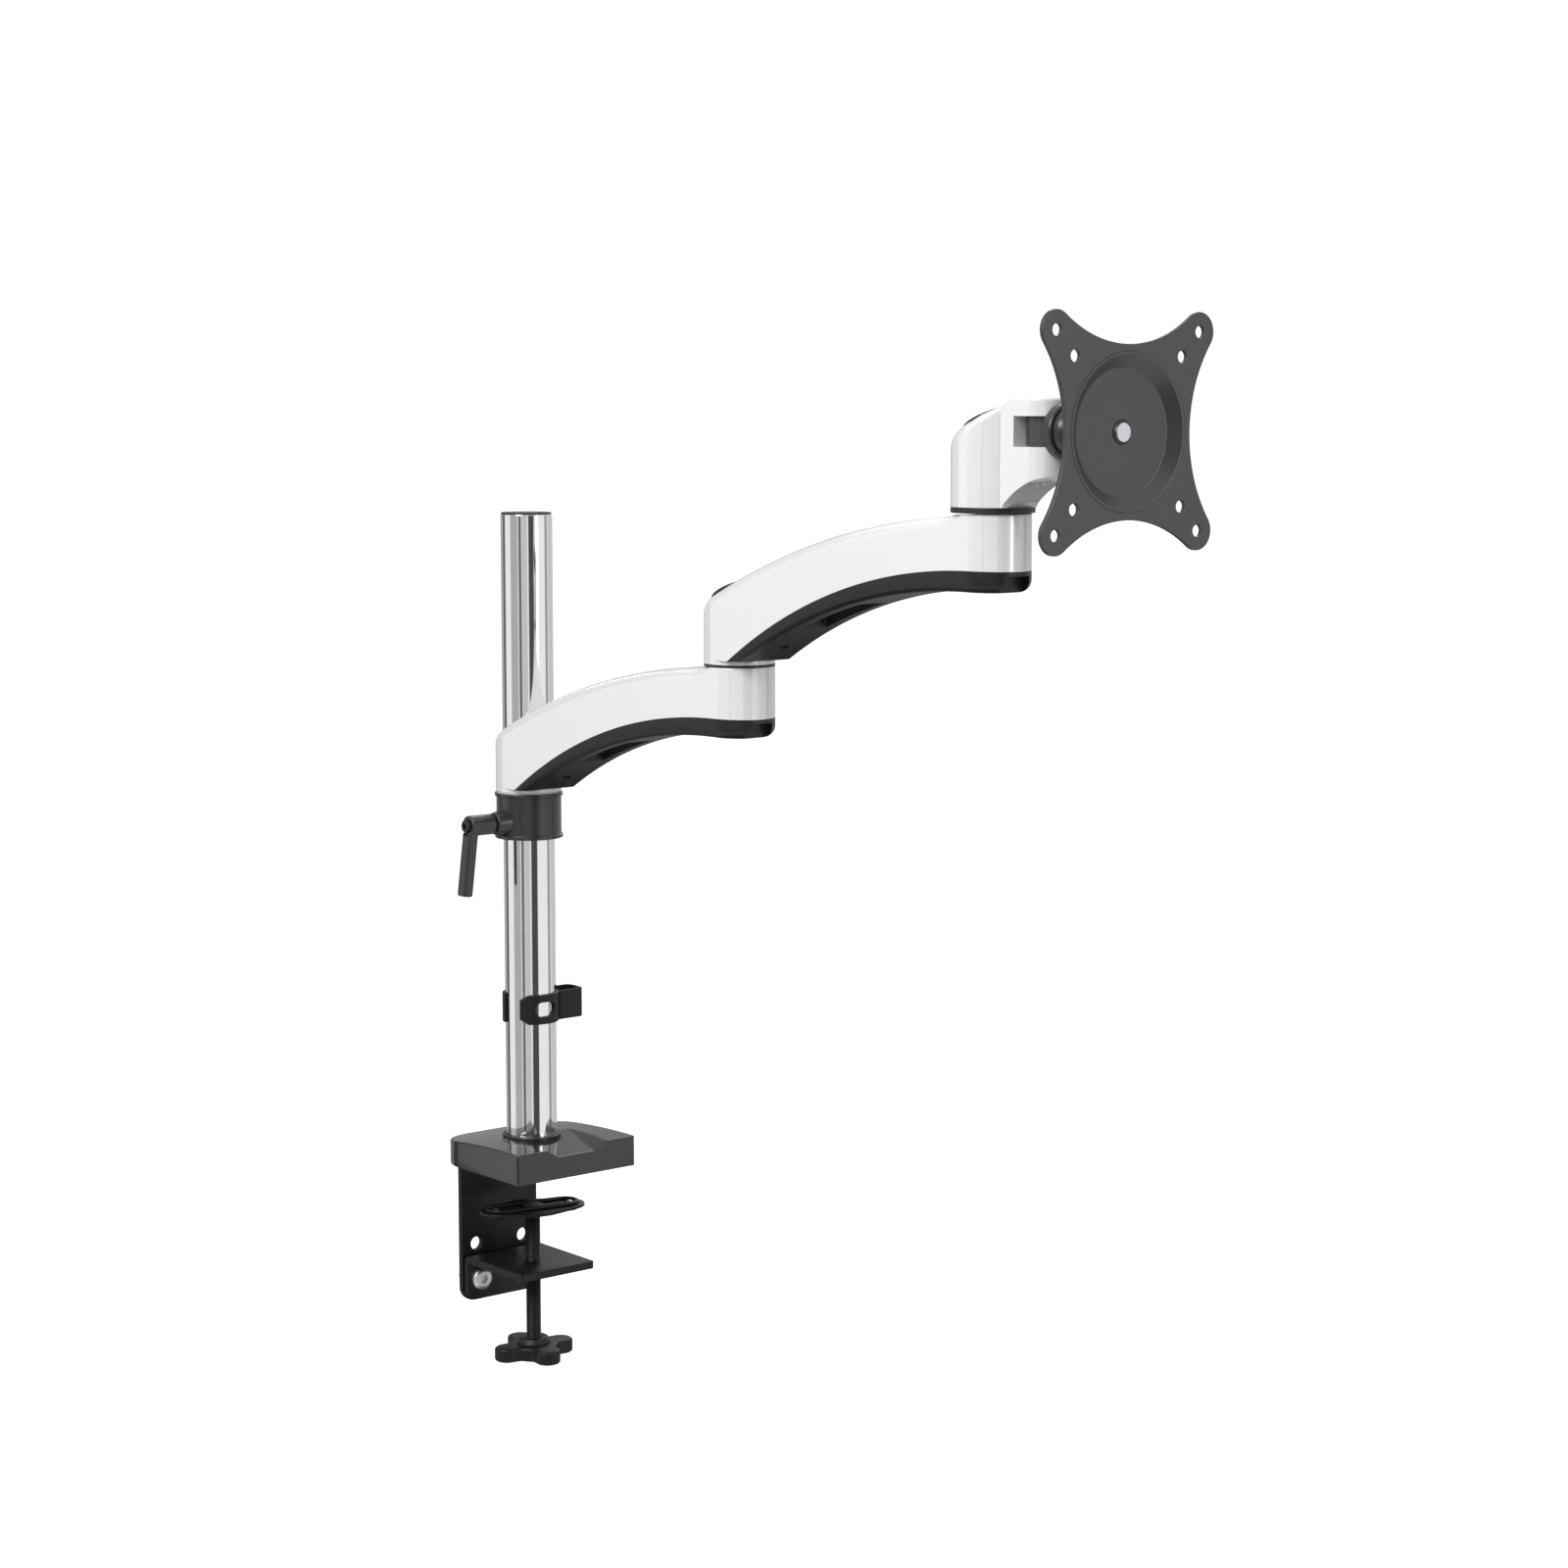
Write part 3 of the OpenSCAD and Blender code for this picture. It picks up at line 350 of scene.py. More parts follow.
pole_low, pole_high = height("pole", 0), height("pole", 1)
pole_radius, pole_bore = 16, 14
piece("pole_tube", tube(pole_radius, pole_bore, pole_low, pole_high, 0.5, 128), chrome, "base",
      "pole")
cap_low, cap_high = pole_high - 12, pole_high + 1.2
cap_profile = [(0, cap_low), (pole_bore, cap_low), (pole_bore, pole_high), (15.7, pole_high),
               (15.7, cap_high), (0, cap_high)]
piece("pole_top_cap", turned(rounded(cap_profile, [0, 0.4, 0, 0.2, 0.6, 0], closed=False)),
      trim, "base", "pole_cap")


# ---- Clamp bracket and what it is screwed to ----
# A strip of 4 mm steel, cut, pressed over at a right angle and powder coated black.
# Its flat leg is screwed under a steel plate and a thin pad is stuck below it.
def skin(form, rows):
    """Faces between neighbouring rows of points, where each row is a ring."""
    for below, above in zip(rows, rows[1:]):
        for k in range(len(below)):
            form.faces.new((below[k - 1], below[k], above[k], above[k - 1]))


def plate(loops, low, high, edge=0.5, steps=3):
    """A flat plate with rounded edges. The first loop is its outline, the others its holes."""
    form = bmesh.new()
    caps = [[], []]
    for order, loop in enumerate(loops):
        ring = [Vector(p) for p in loop]
        area = sum(a.x * b.y - b.x * a.y for a, b in zip(ring, ring[1:] + ring[:1]))
        if (area < 0) == (order == 0):
            ring.reverse()
        lean = []
        for k, here in enumerate(ring):
            come = (here - ring[k - 1]).normalized()
            leave = (ring[(k + 1) % len(ring)] - here).normalized()
            along = (come + leave).normalized()
            out = Vector((along.y, -along.x))
            lean.append(out / max(0.4, out.dot(Vector((come.y, -come.x)))))
        rows = []
        turns = [math.pi / 2 * k / steps for k in range(steps + 1)]
        levels = [(edge * (1 - math.sin(t)), low + edge * (1 - math.cos(t))) for t in turns]
        levels += [(inset, high + low - z) for inset, z in reversed(levels)]
        for inset, z in levels:
            rows.append([form.verts.new((*(p - out * inset), z)) for p, out in zip(ring, lean)])
        skin(form, rows)
        for cap, row in zip(caps, (rows[0], rows[-1])):
            cap += [form.edges.get((row[k - 1], row[k])) for k in range(len(row))]
    for cap in caps:
        bmesh.ops.triangle_fill(form, use_beauty=True, use_dissolve=False, edges=cap)
    bmesh.ops.recalc_face_normals(form, faces=form.faces)
    return form


def ring_line(radius, x=0, y=0, count=48):
    """A round hole's outline."""
    return [on_circle(radius, 2 * math.pi * k / count, x, y) for k in range(count)]


def box_line(low, high, radii=0, steps=6):
    """A rectangle's outline between two corners."""
    return rounded([low, (high[0], low[1]), high, (low[0], high[1])], radii, steps)


def bent(form, start, inner, thick):
    """Bends a strip lying along Y, whose top is at Z 0, down past Y start at a right angle."""
    middle = (inner + thick / 2) * math.pi / 2
    cuts = 12
    for k in range(cuts + 1):
        geometry = form.verts[:] + form.edges[:] + form.faces[:]
        bmesh.ops.bisect_plane(form, geom=geometry, plane_co=(0, start + middle * k / cuts, 0),
                               plane_no=(0, 1, 0))
    for v in form.verts:
        along = v.co.y - start
        if along <= 0:
            continue
        radius = inner + thick + v.co.z
        turn = min(1, along / middle) * math.pi / 2
        past = max(0, along - middle)
        v.co.y = start + radius * math.sin(turn)
        v.co.z = -(inner + thick) + radius * math.cos(turn) - past
    return form


powder = Finish("black_powder_coat", specular=0.28)
peel = powder.noise(900, 3, 0.55)
speck = powder.noise(3200, 1, 0.5)
patch = powder.noise(26, 4)
powder.colour(patch, (0.004, 0.004, 0.005), (0.009, 0.009, 0.010))
powder.feed("Roughness", 0.26 + 0.16 * patch + 0.08 * peel)
powder.bump(peel + 0.4 * speck, 0.02, 0.5)

zinc = Finish("zinc_plate", metallic=1.0)
turning = zinc.noise(500, 3, 0.6, zinc.stretched(1, 1, 6))
patch = zinc.noise(120, 4, 0.6)
zinc.colour(patch, (0.50, 0.51, 0.53), (0.72, 0.73, 0.74))
zinc.feed("Roughness", 0.24 + 0.2 * patch + 0.08 * turning)
zinc.bump(turning, 0.01, 0.4)

pad_rubber = Finish("pad_rubber", specular=0.3)
cells = pad_rubber.noise(1400, 3, 0.7)
pad_rubber.colour(cells, (0.010, 0.010, 0.011), (0.022, 0.022, 0.023))
pad_rubber.feed("Roughness", 0.7 + 0.25 * cells)
pad_rubber.bump(cells, 0.06, 0.6)

steel_thick = 4
bracket_low, bracket_top = height("clamp_bracket", 0), height("clamp_bracket", 1)
bracket_bend = 36
bracket_inner = 1
bracket_end = (bracket_bend + (bracket_inner + steel_thick / 2) * math.pi / 2
               + bracket_top - bracket_inner - steel_thick - bracket_low)
bolt_side = 18
bolt_hole = 4.25
spare_level, bolt_level = -57, -79
holes = [ring_line(7.4, 0, 0)]
for side in (-1, 1):
    for level in (spare_level, bolt_level):
        holes.append(ring_line(bolt_hole, bolt_side * side, bracket_end - (level - bracket_low)))
outline = box_line((-29.25, -32), (29.25, bracket_end), [1, 1, 9.5, 9.5], 10)
bracket = bent(plate([outline] + holes, -steel_thick, 0, 0.5), bracket_bend, bracket_inner, steel_thick)
piece("bent_bracket", moved(bracket, at(0, 0, bracket_top)), powder, "base", "clamp_bracket")
carried(zinc, "base_plate", "bracket_screws", "pole_bolt", "pole_insert")
carried(pad_rubber, "desk_pad")

# ---- Base cover ----
# A glossy black moulding over the base plate: domed from front to back, with round back
# corners, and a scoop that fans out from the middle of the front between two raised corners.
# Two small screws hold it from below and a black ring closes the gap round the pole.
gloss = Finish("gloss_black", coat=0.4, coat_roughness=0.05, specular=0.45)
ripple = gloss.noise(70, 2, 0.4)
smear = gloss.noise(24, 4, 0.6)
gloss.colour(smear, (0.014, 0.014, 0.015), (0.024, 0.024, 0.025))
gloss.feed("Roughness", 0.10 + 0.10 * smear)
gloss.bump(ripple, 0.03, 0.12)


def arc(y, radius, middle, top):
    """The height of an arc with its highest point at y = -middle."""
    return top - radius + math.sqrt(radius ** 2 - (y + middle) ** 2)


def cover_top(x, y):
    """The cover's height at a point: its dome, blended into the scoop."""
    dome = arc(y, 650, 40, 19.5)
    back = min(1, max(0, (y + 50.5) / 44.5))
    bed = 14 + 4 * back
    half_width = 13 + 13 * back
    scoop = bed + max(0, abs(x) - half_width) * 0.6
    if y > -6:
        scoop += (y + 6) * 0.12
    gap = scoop - dome
    soft = 0.7
    return dome if gap > soft else scoop if gap < -soft else dome - (soft - gap) ** 2 / (4 * soft)


def crowned(columns, top, bottom, top_edge, bottom_edge, across=8, steps=5, wall=3):
    """A closed body over a plan. Each column is a foot on the plan's middle and a point on its rim.
    Top and bottom give the heights at (x, y), and the edges between them and the wall are rounded."""
    form = bmesh.new()
    rows = []
    for foot, rim in columns:
        foot, rim = Vector(foot), Vector(rim)
        span = (rim - foot).length
        inward = (foot - rim) / span
        room = top(*rim) - bottom(*rim)
        up = top_edge(*rim) if callable(top_edge) else top_edge
        down = bottom_edge(*rim) if callable(bottom_edge) else bottom_edge
        fit = min(1, 0.96 * max(room, 0.02) / max(up + down, 1e-6))
        up, down = up * fit, down * fit
        line = []
        for k in range(across):
            place = foot + (rim + inward * up - foot) * k / across
            line.append((*place, top(*place)))
        for k in range(steps + 1):
            turn = math.pi / 2 * k / steps
            place = rim + inward * up * (1 - math.sin(turn))
            line.append((*place, top(*place) - up * (1 - math.cos(turn))))
        upper, lower = top(*rim) - up, bottom(*rim) + down
        for k in range(1, wall):
            line.append((*rim, upper + (lower - upper) * k / wall))
        for k in range(steps, -1, -1):
            turn = math.pi / 2 * k / steps
            place = rim + inward * down * (1 - math.sin(turn))
            line.append((*place, bottom(*place) + down * (1 - math.cos(turn))))
        for k in range(across - 1, -1, -1):
            place = foot + (rim + inward * down - foot) * k / across
            line.append((*place, bottom(*place)))
        rows.append([form.verts.new(p) for p in line])
    for here, after in zip(rows, rows[1:] + rows[:1]):
        for k in range(len(here) - 1):
            form.faces.new((here[k], here[k + 1], after[k + 1], after[k]))
    bmesh.ops.remove_doubles(form, verts=form.verts, dist=1e-4)
    bmesh.ops.dissolve_degenerate(form, dist=1e-5, edges=form.edges)
    bmesh.ops.recalc_face_normals(form, faces=form.faces)
    return form


def even_line(line, count):
    """Points at even distances round a closed line."""
    closed = [Vector(p) for p in line] + [Vector(line[0])]
    lengths = [(b - a).length for a, b in zip(closed, closed[1:])]
    step = sum(lengths) / count
    points, run, k = [], 0.0, 0
    for place in range(count):
        while run + lengths[k] < place * step:
            run += lengths[k]
            k += 1
        points.append(closed[k] + (closed[k + 1] - closed[k]) * (place * step - run) / lengths[k])
    return points


cover_line = rounded([(-45, -48.5), (45, -48.5), (45, 45), (-45, 45)], [1.2, 1.2, 28, 28], 24)
form = bmesh.new()
ridge = []
foot_radius = 18.5
for rim in even_line(cover_line, 480):
    outward = rim.normalized()
    hole = outward * foot_radius
    inner = rim - outward * 2.6
    line = []
    for k in range(34):
        place = hole + (outward * (rim.length - 1.0) - hole) * k / 33
        line.append((*place, cover_top(*place)))
    for k in range(1, 6):
        turn = math.pi / 2 * k / 5
        place = rim - outward * (1 - math.sin(turn))
        line.append((*place, cover_top(*place) - 1 + math.cos(turn)))
    line += [(*rim, 6), (*rim, 0.7), (*(rim * 0.995), 0.3), (*inner, 0.3), (*inner, 11)]
    line += [(*(outward * 24), 14), (*hole, 14)]
    ridge.append([form.verts.new(p) for p in line])
skin(form, ridge + ridge[:1])
bmesh.ops.recalc_face_normals(form, faces=form.faces)
piece("cover_moulding", form, gloss, "base", "base_cover", sharp=50)
foot_ring = tube(foot_radius, pole_radius + 0.02, height("foot_ring", 0), height("foot_ring", 1), 0.5)
piece("pole_foot_ring", foot_ring, trim, "base", "foot_ring")
carried(zinc, "cover_screws")

# ---- Clamp jaw and its bolts ----
# The jaw is bent from the same coated steel. Two zinc plated bolts with round heads and
# hexagon sockets fix its leg to the bracket, with nuts behind.
jaw_low, jaw_top = height("clamp_jaw", 0), height("clamp_jaw", 1)
jaw_bend = 31
jaw_inner = 2
jaw_end = (jaw_bend + (jaw_inner + steel_thick / 2) * math.pi / 2
           + jaw_top - jaw_inner - steel_thick - jaw_low)
screw_bore = ring_line(5.1)
bolt_bores = [ring_line(bolt_hole, bolt_side * side, jaw_end - (bolt_level - jaw_low)) for side in (-1, 1)]
outline = box_line((-28, -27.5), (28, jaw_end), [1.5, 1.5, 3, 3])
shelf = plate([outline, screw_bore] + bolt_bores, -steel_thick, 0, 0.5)
shelf = bent(shelf, jaw_bend, jaw_inner, steel_thick)
lip = plate([box_line((-28, -27.5), (28, 29), 1.5), screw_bore], -5, -3.6, 0.4)
piece("bent_jaw", moved(joined(shelf, lip), at(0, 0, jaw_top)), powder, "base", "clamp_jaw")


def less(form, *cutters):
    """The form with the cutters' shapes taken away."""
    held = []
    for number, shape in enumerate((form, *cutters)):
        name = f"held_{number}"
        held.append(standing(name, mesh_of(name, shape)))
    for cutter in held[1:]:
        cut = held[0].modifiers.new("cut", "BOOLEAN")
        cut.operation = "DIFFERENCE"
        cut.solver = "EXACT"
        cut.object = cutter
    mesh = worked(held[0])
    result = bmesh.new()
    result.from_mesh(mesh)
    for made in held:
        bpy.data.meshes.remove(made.data)
    bpy.data.meshes.remove(mesh)
    return result


def hexagon(across, low, high, edge=0.05):
    """A hexagonal bar, measured across its flats."""
    return plate([ring_line(across / math.sqrt(3), count=6)], low, high, edge, 1)


def repeated(name, form, finish, turns, body, node):
    """Sets the same small part at several places, by geometry nodes on one point each.
    The turns are matrices that share one direction, so that a single turn serves them all."""
    bmesh.ops.scale(form, vec=(0.001, 0.001, 0.001), verts=form.verts)
    mesh = mesh_of(name + "_one", form)
    mesh.shade_smooth()
    mesh.set_sharp_from_angle(angle=math.radians(30))
    one = standing(name + "_one", mesh)
    points = bpy.data.meshes.new(name)
    points.from_pydata([t.translation * 0.001 for t in turns], [], [])
    holder = standing(name, points)
    tree = bpy.data.node_groups.new(name + "_row", "GeometryNodeTree")
    tree.interface.new_socket("Places", in_out="INPUT", socket_type="NodeSocketGeometry")
    part = tree.interface.new_socket("Part", in_out="INPUT", socket_type="NodeSocketObject")
    turn = tree.interface.new_socket("Turn", in_out="INPUT", socket_type="NodeSocketRotation")
    coat = tree.interface.new_socket("Finish", in_out="INPUT", socket_type="NodeSocketMaterial")
    tree.interface.new_socket("Row", in_out="OUTPUT", socket_type="NodeSocketGeometry")
    start, end = tree.nodes.new("NodeGroupInput"), tree.nodes.new("NodeGroupOutput")
    info = tree.nodes.new("GeometryNodeObjectInfo")
    spread = tree.nodes.new("GeometryNodeInstanceOnPoints")
    real = tree.nodes.new("GeometryNodeRealizeInstances")
    painted = tree.nodes.new("GeometryNodeSetMaterial")
    for source, output, target, entry in (
            (start, "Part", info, "Object"), (start, "Places", spread, "Points"),
            (info, "Geometry", spread, "Instance"), (start, "Turn", spread, "Rotation"),
            (spread, "Instances", real, "Geometry"), (real, "Geometry", painted, "Geometry"),
            (start, "Finish", painted, "Material"), (painted, "Geometry", end, "Row")):
        tree.links.new(source.outputs[output], target.inputs[entry])
    row = holder.modifiers.new("row", "NODES")
    row.node_group = tree
    row[part.identifier] = one
    row[turn.identifier] = turns[0].to_euler()
    row[coat.identifier] = finish.material
    settled = worked(holder)
    holder.modifiers.clear()
    holder.data = settled
    bpy.data.objects.remove(one)
    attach(holder, body)
    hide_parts(node)


bright_zinc = Finish("bright_zinc", metallic=1.0)
patch = bright_zinc.noise(160, 4, 0.6)
turning = bright_zinc.noise(700, 2, 0.5, bright_zinc.stretched(1, 6, 1))
bright_zinc.colour(patch, (0.70, 0.705, 0.715), (0.80, 0.805, 0.81))
bright_zinc.feed("Roughness", 0.32 + 0.14 * patch)
bright_zinc.bump(turning, 0.008, 0.35)

head_line = rounded([(0, -4.4), (5, -4.4), (7, -3), (7, 0), (4, 0), (4, 16), (0, 16)],
                    [0, 1.2, 0.8, 0.3, 0.1, 0.5, 0], closed=False)
bolt = less(turned(head_line, 64), hexagon(5, -5.4, -1.4))
jaw_face = 33
places = [at(bolt_side * side, jaw_face, bolt_level) @ tipped(-90, "X") for side in (-1, 1)]
repeated("jaw_round_bolts", bolt, bright_zinc, places, "base", "jaw_bolts")
nut_line = rounded([(0, 0), (6.9, 0), (7.5, 0.7), (7.5, 5.8), (6.9, 6.5), (0, 6.5)], 0.1, closed=False)
flats = [moved(plate([box_line((-9, 6.5), (9, 12))], -1, 8, 0.01, 1), tipped(60 * k, "Z")) for k in range(6)]
nut = less(turned(nut_line, 72), bar(4.02, -1, 8, 0.05, 48), *flats)
places = [at(0, 2 * steel_thick, 0) @ place for place in places]
repeated("jaw_hex_nuts", nut, bright_zinc, places, "base", "jaw_nuts")

# ---- Clamp screw, its knob and the pressure plate ----
# A blackened screw with a rolled thread, a moulded four-lobed knob over a nut, and an oval
# pressed plate with a raised track, which a riveted strap keeps on the screw's tip.
black_screw = Finish("blackened_steel", metallic=0.7)
patch = black_screw.noise(140, 4, 0.6)
black_screw.colour(patch, (0.02, 0.02, 0.021), (0.05, 0.05, 0.052))
black_screw.feed("Roughness", 0.3 + 0.2 * patch)
black_screw.bump(patch, 0.01, 0.3)

moulded = Finish("moulded_black", specular=0.3)
grain = moulded.noise(1700, 3, 0.65)
patch = moulded.noise(32, 3)
moulded.colour(patch, (0.005, 0.005, 0.006), (0.011, 0.011, 0.012))
moulded.feed("Roughness", 0.38 + 0.16 * grain)
moulded.bump(grain, 0.035, 0.5)


def threaded(radius, pitch, low, high, deep, steps=48):
    """A rod with a right-handed thread from one height to another."""
    form = bmesh.new()
    levels = round((high - low) / pitch * 8)
    rings = []
    for level in range(levels + 1):
        z = low + (high - low) * level / levels
        fade = min(1, (high - z) / pitch, (z - low) / pitch + 0.2)
        ring = []
        for k in range(steps):
            phase = (z / pitch - k / steps) % 1
            cut = deep * fade * min(1, max(0, 1.25 - 2.5 * abs(phase - 0.5)))
            ring.append(form.verts.new((*on_circle(radius - cut, 2 * math.pi * k / steps), z)))
        rings.append(ring)
    skin(form, rings)
    form.faces.new(rings[0])
    form.faces.new(rings[-1])
    bmesh.ops.recalc_face_normals(form, faces=form.faces)
    return form


screw_low, screw_high = height("clamp_screw", 0), height("clamp_screw", 1)
tip_line = [(0, -7), (5, -6.5), (5, -4.5), (4, -4.5), (4, -2), (5.2, -2), (5.2, 0), (0, 0)]
tip = moved(turned(rounded(tip_line, 0.2, closed=False), 64), at(0, 0, screw_high))
piece("clamp_thread", joined(threaded(5, 1.5, screw_low, screw_high - 5, 0.8), tip), black_screw, "screw",
      "clamp_screw", sharp=60)

lobes = []
lobe_away, lobe_radius, knob_waist = 19, 8, 15.5
for k in range(240):
    turn = 2 * math.pi * k / 240
    off = (turn + math.pi / 4) % (math.pi / 2) - math.pi / 4
    side = lobe_radius / max(1e-6, abs(math.sin(off)))
    within = lobe_radius ** 2 - (lobe_away * math.sin(off)) ** 2
    tip_reach = lobe_away * math.cos(off) + math.sqrt(within) if within > 0 else 0
    on_tip = abs(tip_reach * math.sin(off)) < lobe_radius and tip_reach * math.cos(off) > lobe_away
    reach = min(tip_reach if on_tip else side, lobe_away + lobe_radius)
    reach = (reach ** 18 + knob_waist ** 18) ** (1 / 18)
    lobes.append(on_circle(min(reach, lobe_away + lobe_radius - 0.1), turn))
knob_low, knob_high = height("clamp_knob", 0), height("clamp_knob", 1)
knob_bore = 5.02
grip = plate([lobes, ring_line(knob_bore)], knob_low, knob_high - 4, 1.8, 5)
hub_low = knob_high - 4.5
hub = turned(rounded([(knob_bore, hub_low), (11.5, hub_low), (9, knob_high), (knob_bore, knob_high)], 0.9))
piece("lobed_knob", moved(joined(grip, hub), tipped(-7.5, "Z")), moulded, "screw", "clamp_knob")
carried(zinc, "knob_nut")


def track(half, radius, count=24):
    """A slot's outline along X."""
    line = []
    for side in (1, -1):
        for k in range(count + 1):
            turn = math.radians(-90 + 180 * k / count) + (0 if side > 0 else math.pi)
            line.append(on_circle(radius, turn, side * (half - radius)))
    return line


def oval(middle, end, reach, count=40):
    """Two small round ends joined to a larger middle circle by straight edges."""
    lean = math.degrees(math.asin((middle - end) / reach))
    line = []
    for centre, radius, first, last in (
            (reach, end, lean - 90, 90 - lean), (0, middle, 90 - lean, 90 + lean),
            (-reach, end, 90 + lean, 270 - lean), (0, middle, 270 - lean, 270 + lean)):
        for k in range(count + 1):
            line.append(on_circle(radius, math.radians(first + (last - first) * k / count), centre))
    clean = []
    for p in line:
        if not clean or math.dist(p, clean[-1]) > 0.05:
            clean.append(p)
    return clean


pad_high = height("pressure_plate", 1)
pad_turn = tipped(-12, "Z")
dish = plate([oval(21, 13, 22)], pad_high - 4, pad_high - 2, 0.7, 4)
bead = plate([track(31.5, 9.5), track(28.5, 6.5)], pad_high - 2.4, pad_high, 1.1, 5)
boss = bar(7, pad_high - 2.4, pad_high - 0.6, 0.6, 64)
piece("press_plate", moved(joined(dish, bead, boss), pad_turn), powder, "pad",
      "pressure_plate")
carried(powder, "swivel_strap")
upper_line = rounded([(0, 3.6), (1.6, 4), (2.6, 4), (1.7, 5), (0, 5.2)], [0, 0, 0.2, 0.5, 0], closed=False)
lower_line = rounded([(0, -1.2), (1.7, -1), (2.6, 0), (1.6, 0), (1.6, 4.2), (0, 4.2)], 0.2, closed=False)
rivet = joined(turned(upper_line, 32), turned(lower_line, 32))
places = [at(*(pad_turn @ Vector((25.5 * side, 0, pad_high - 6)))) for side in (-1, 1)]
repeated("plate_rivets", rivet, bright_zinc, places, "pad", "pad_rivets")


# ---- Cable clip ----
# A springy black moulding that snaps round the pole, with an oval window in front
# and a rounded hook on the right for the cables.
def strip(path, thick, end_steps=6):
    """The outline of a strip of even thickness along a line, with round ends."""
    line = [Vector(p) for p in path]
    sides = [[], []]
    for k, here in enumerate(line):
        come = here - line[max(0, k - 1)]
        leave = line[min(len(line) - 1, k + 1)] - here
        along = (come.normalized() + leave.normalized()).normalized()
        out = Vector((along.y, -along.x)) * thick / 2
        sides[0].append(here + out)
        sides[1].append(here - out)
    caps = []
    for centre, first in ((line[-1], sides[0][-1]), (line[0], sides[1][0])):
        arm = first - centre
        caps.append([centre + Matrix.Rotation(math.pi * k / end_steps, 2) @ arm for k in range(1, end_steps)])
    return sides[0] + caps[0] + sides[1][::-1] + caps[1]


clip_low, clip_high = height("cable_clip", 0), height("cable_clip", 1)
band = [on_circle(16.96, math.radians(bearing)) for bearing in range(214, 529, 3)]
ring = plate([strip(band, 1.74)], clip_low, clip_high, 0.4)
sideways = at(0, 0, (clip_low + clip_high) / 2) @ tipped(90, "X") @ tipped(180, "X")
window = moved(plate([track(7.7, 4.7)], -30, -10, 0.02, 1), sideways)
hook_path = rounded([(15.6, -9.6), (33.4, -9.6), (33.4, 5.6), (23.8, 5.6)], [0, 3.4, 3.4, 0], 8, closed=False)
hook = plate([strip(hook_path, 1.8)], clip_low, clip_high, 0.4)
ends = []
for way in (-1, 1):
    wedge = [(-16.5, 10 * way), (-16.5, 4.2 * way), (-10, 10 * way)]
    ends.append(moved(plate([wedge], -30, -8, 0.02, 1), sideways))
piece("pole_cable_clip", joined(less(ring, window, *ends), hook), moulded, "clip", "cable_clip")

# ---- Height collar and its lever ----
# A cast collar with a flange at each end and a boss on the left, which a splined stud
# screws into. The hanging handle lifts off the splines, and a cap screw keeps it on.
semi = Finish("semi_gloss_black", coat=0.25, coat_roughness=0.12)
peel = semi.noise(700, 2, 0.5)
patch = semi.noise(28, 4)
semi.colour(patch, (0.018, 0.018, 0.020), (0.030, 0.030, 0.033))
semi.feed("Roughness", 0.26 + 0.14 * patch)
semi.bump(peel, 0.02, 0.3)

nylon = Finish("natural_nylon", specular=0.4)
haze = nylon.noise(90, 3)
nylon.colour(haze, (0.66, 0.65, 0.60), (0.76, 0.75, 0.70))
nylon.feed("Roughness", 0.42 + 0.15 * haze)
nylon.bump(haze, 0.02, 0.3)

brass = Finish("turned_brass", metallic=1.0)
patch = brass.noise(200, 3)
brass.colour(patch, (0.55, 0.38, 0.14), (0.7, 0.5, 0.22))
brass.feed("Roughness", 0.25 + 0.2 * patch)

low, high = height("height_collar", 0), height("height_collar", 1)
collar_bore, collar_side, flange_side, flange_thick = 17.7, 20.3, 21.3, 2.4
sleeve_line = [(collar_bore, low), (flange_side, low), (flange_side, low + flange_thick),
               (collar_side, low + flange_thick), (collar_side, high - flange_thick),
               (flange_side, high - flange_thick), (flange_side, high), (collar_bore, high)]
sleeve = turned(rounded(sleeve_line, [0.2, 0.5, 0.5, 0.3, 0.3, 0.5, 0.5, 0.2]), 128)
lever_level = low + 10.3
boss = turned(rounded([(3.06, 0), (6.8, 0), (9.4, 12), (3.06, 12)], [0.2, 0.8, 0, 0]), 64)
boss = moved(boss, at(-27, 0, lever_level), tipped(90, "Y"))
piece("cast_collar", joined(sleeve, boss), semi, "collar", "height_collar")
carried(nylon, "collar_bush", "swivel_washer")
carried(brass, "brake_shoe")
carried(zinc, "lever_stud", "lever_spring")

cap_line = rounded([(0, -3.1), (3.8, -3.1), (3.8, 0), (2, 0), (2, 14), (0, 14)],
                   [0, 0.6, 0.1, 0.1, 0.3, 0], closed=False)
cap = less(turned(cap_line, 48), hexagon(3, -4, -1.3))
piece("lever_cap_screw", moved(cap, at(-45.5, 0, lever_level), tipped(90, "Y")), black_screw, "lever_core",
      "lever_screw")
hub_line = [(4.66, 0), (6.4, 0), (6.4, 17.5), (4.1, 17.5), (4.1, 12), (2.3, 12), (2.3, 9.9), (4.66, 9.9)]
hub = turned(rounded(hub_line, [0.3, 0.9, 0.9, 0.3, 0, 0, 0, 0]), 72)
handle_lean = 7
blade = plate([box_line((-3.7, -4.4), (3.7, 4.4), 2.2)], -44, 0, 1.6, 5)
blade = less(blade, moved(bar(6.2, -12, 12, 0.02, 48), tipped(-handle_lean, "Y"), tipped(90, "Y")))
handle = joined(moved(hub, at(-28.5, 0, lever_level), tipped(-90, "Y")),
                moved(blade, at(-43.5, 0, lever_level), tipped(handle_lean, "Y")))
piece("hanging_handle", handle, semi, "lever_grip", "lever_handle")

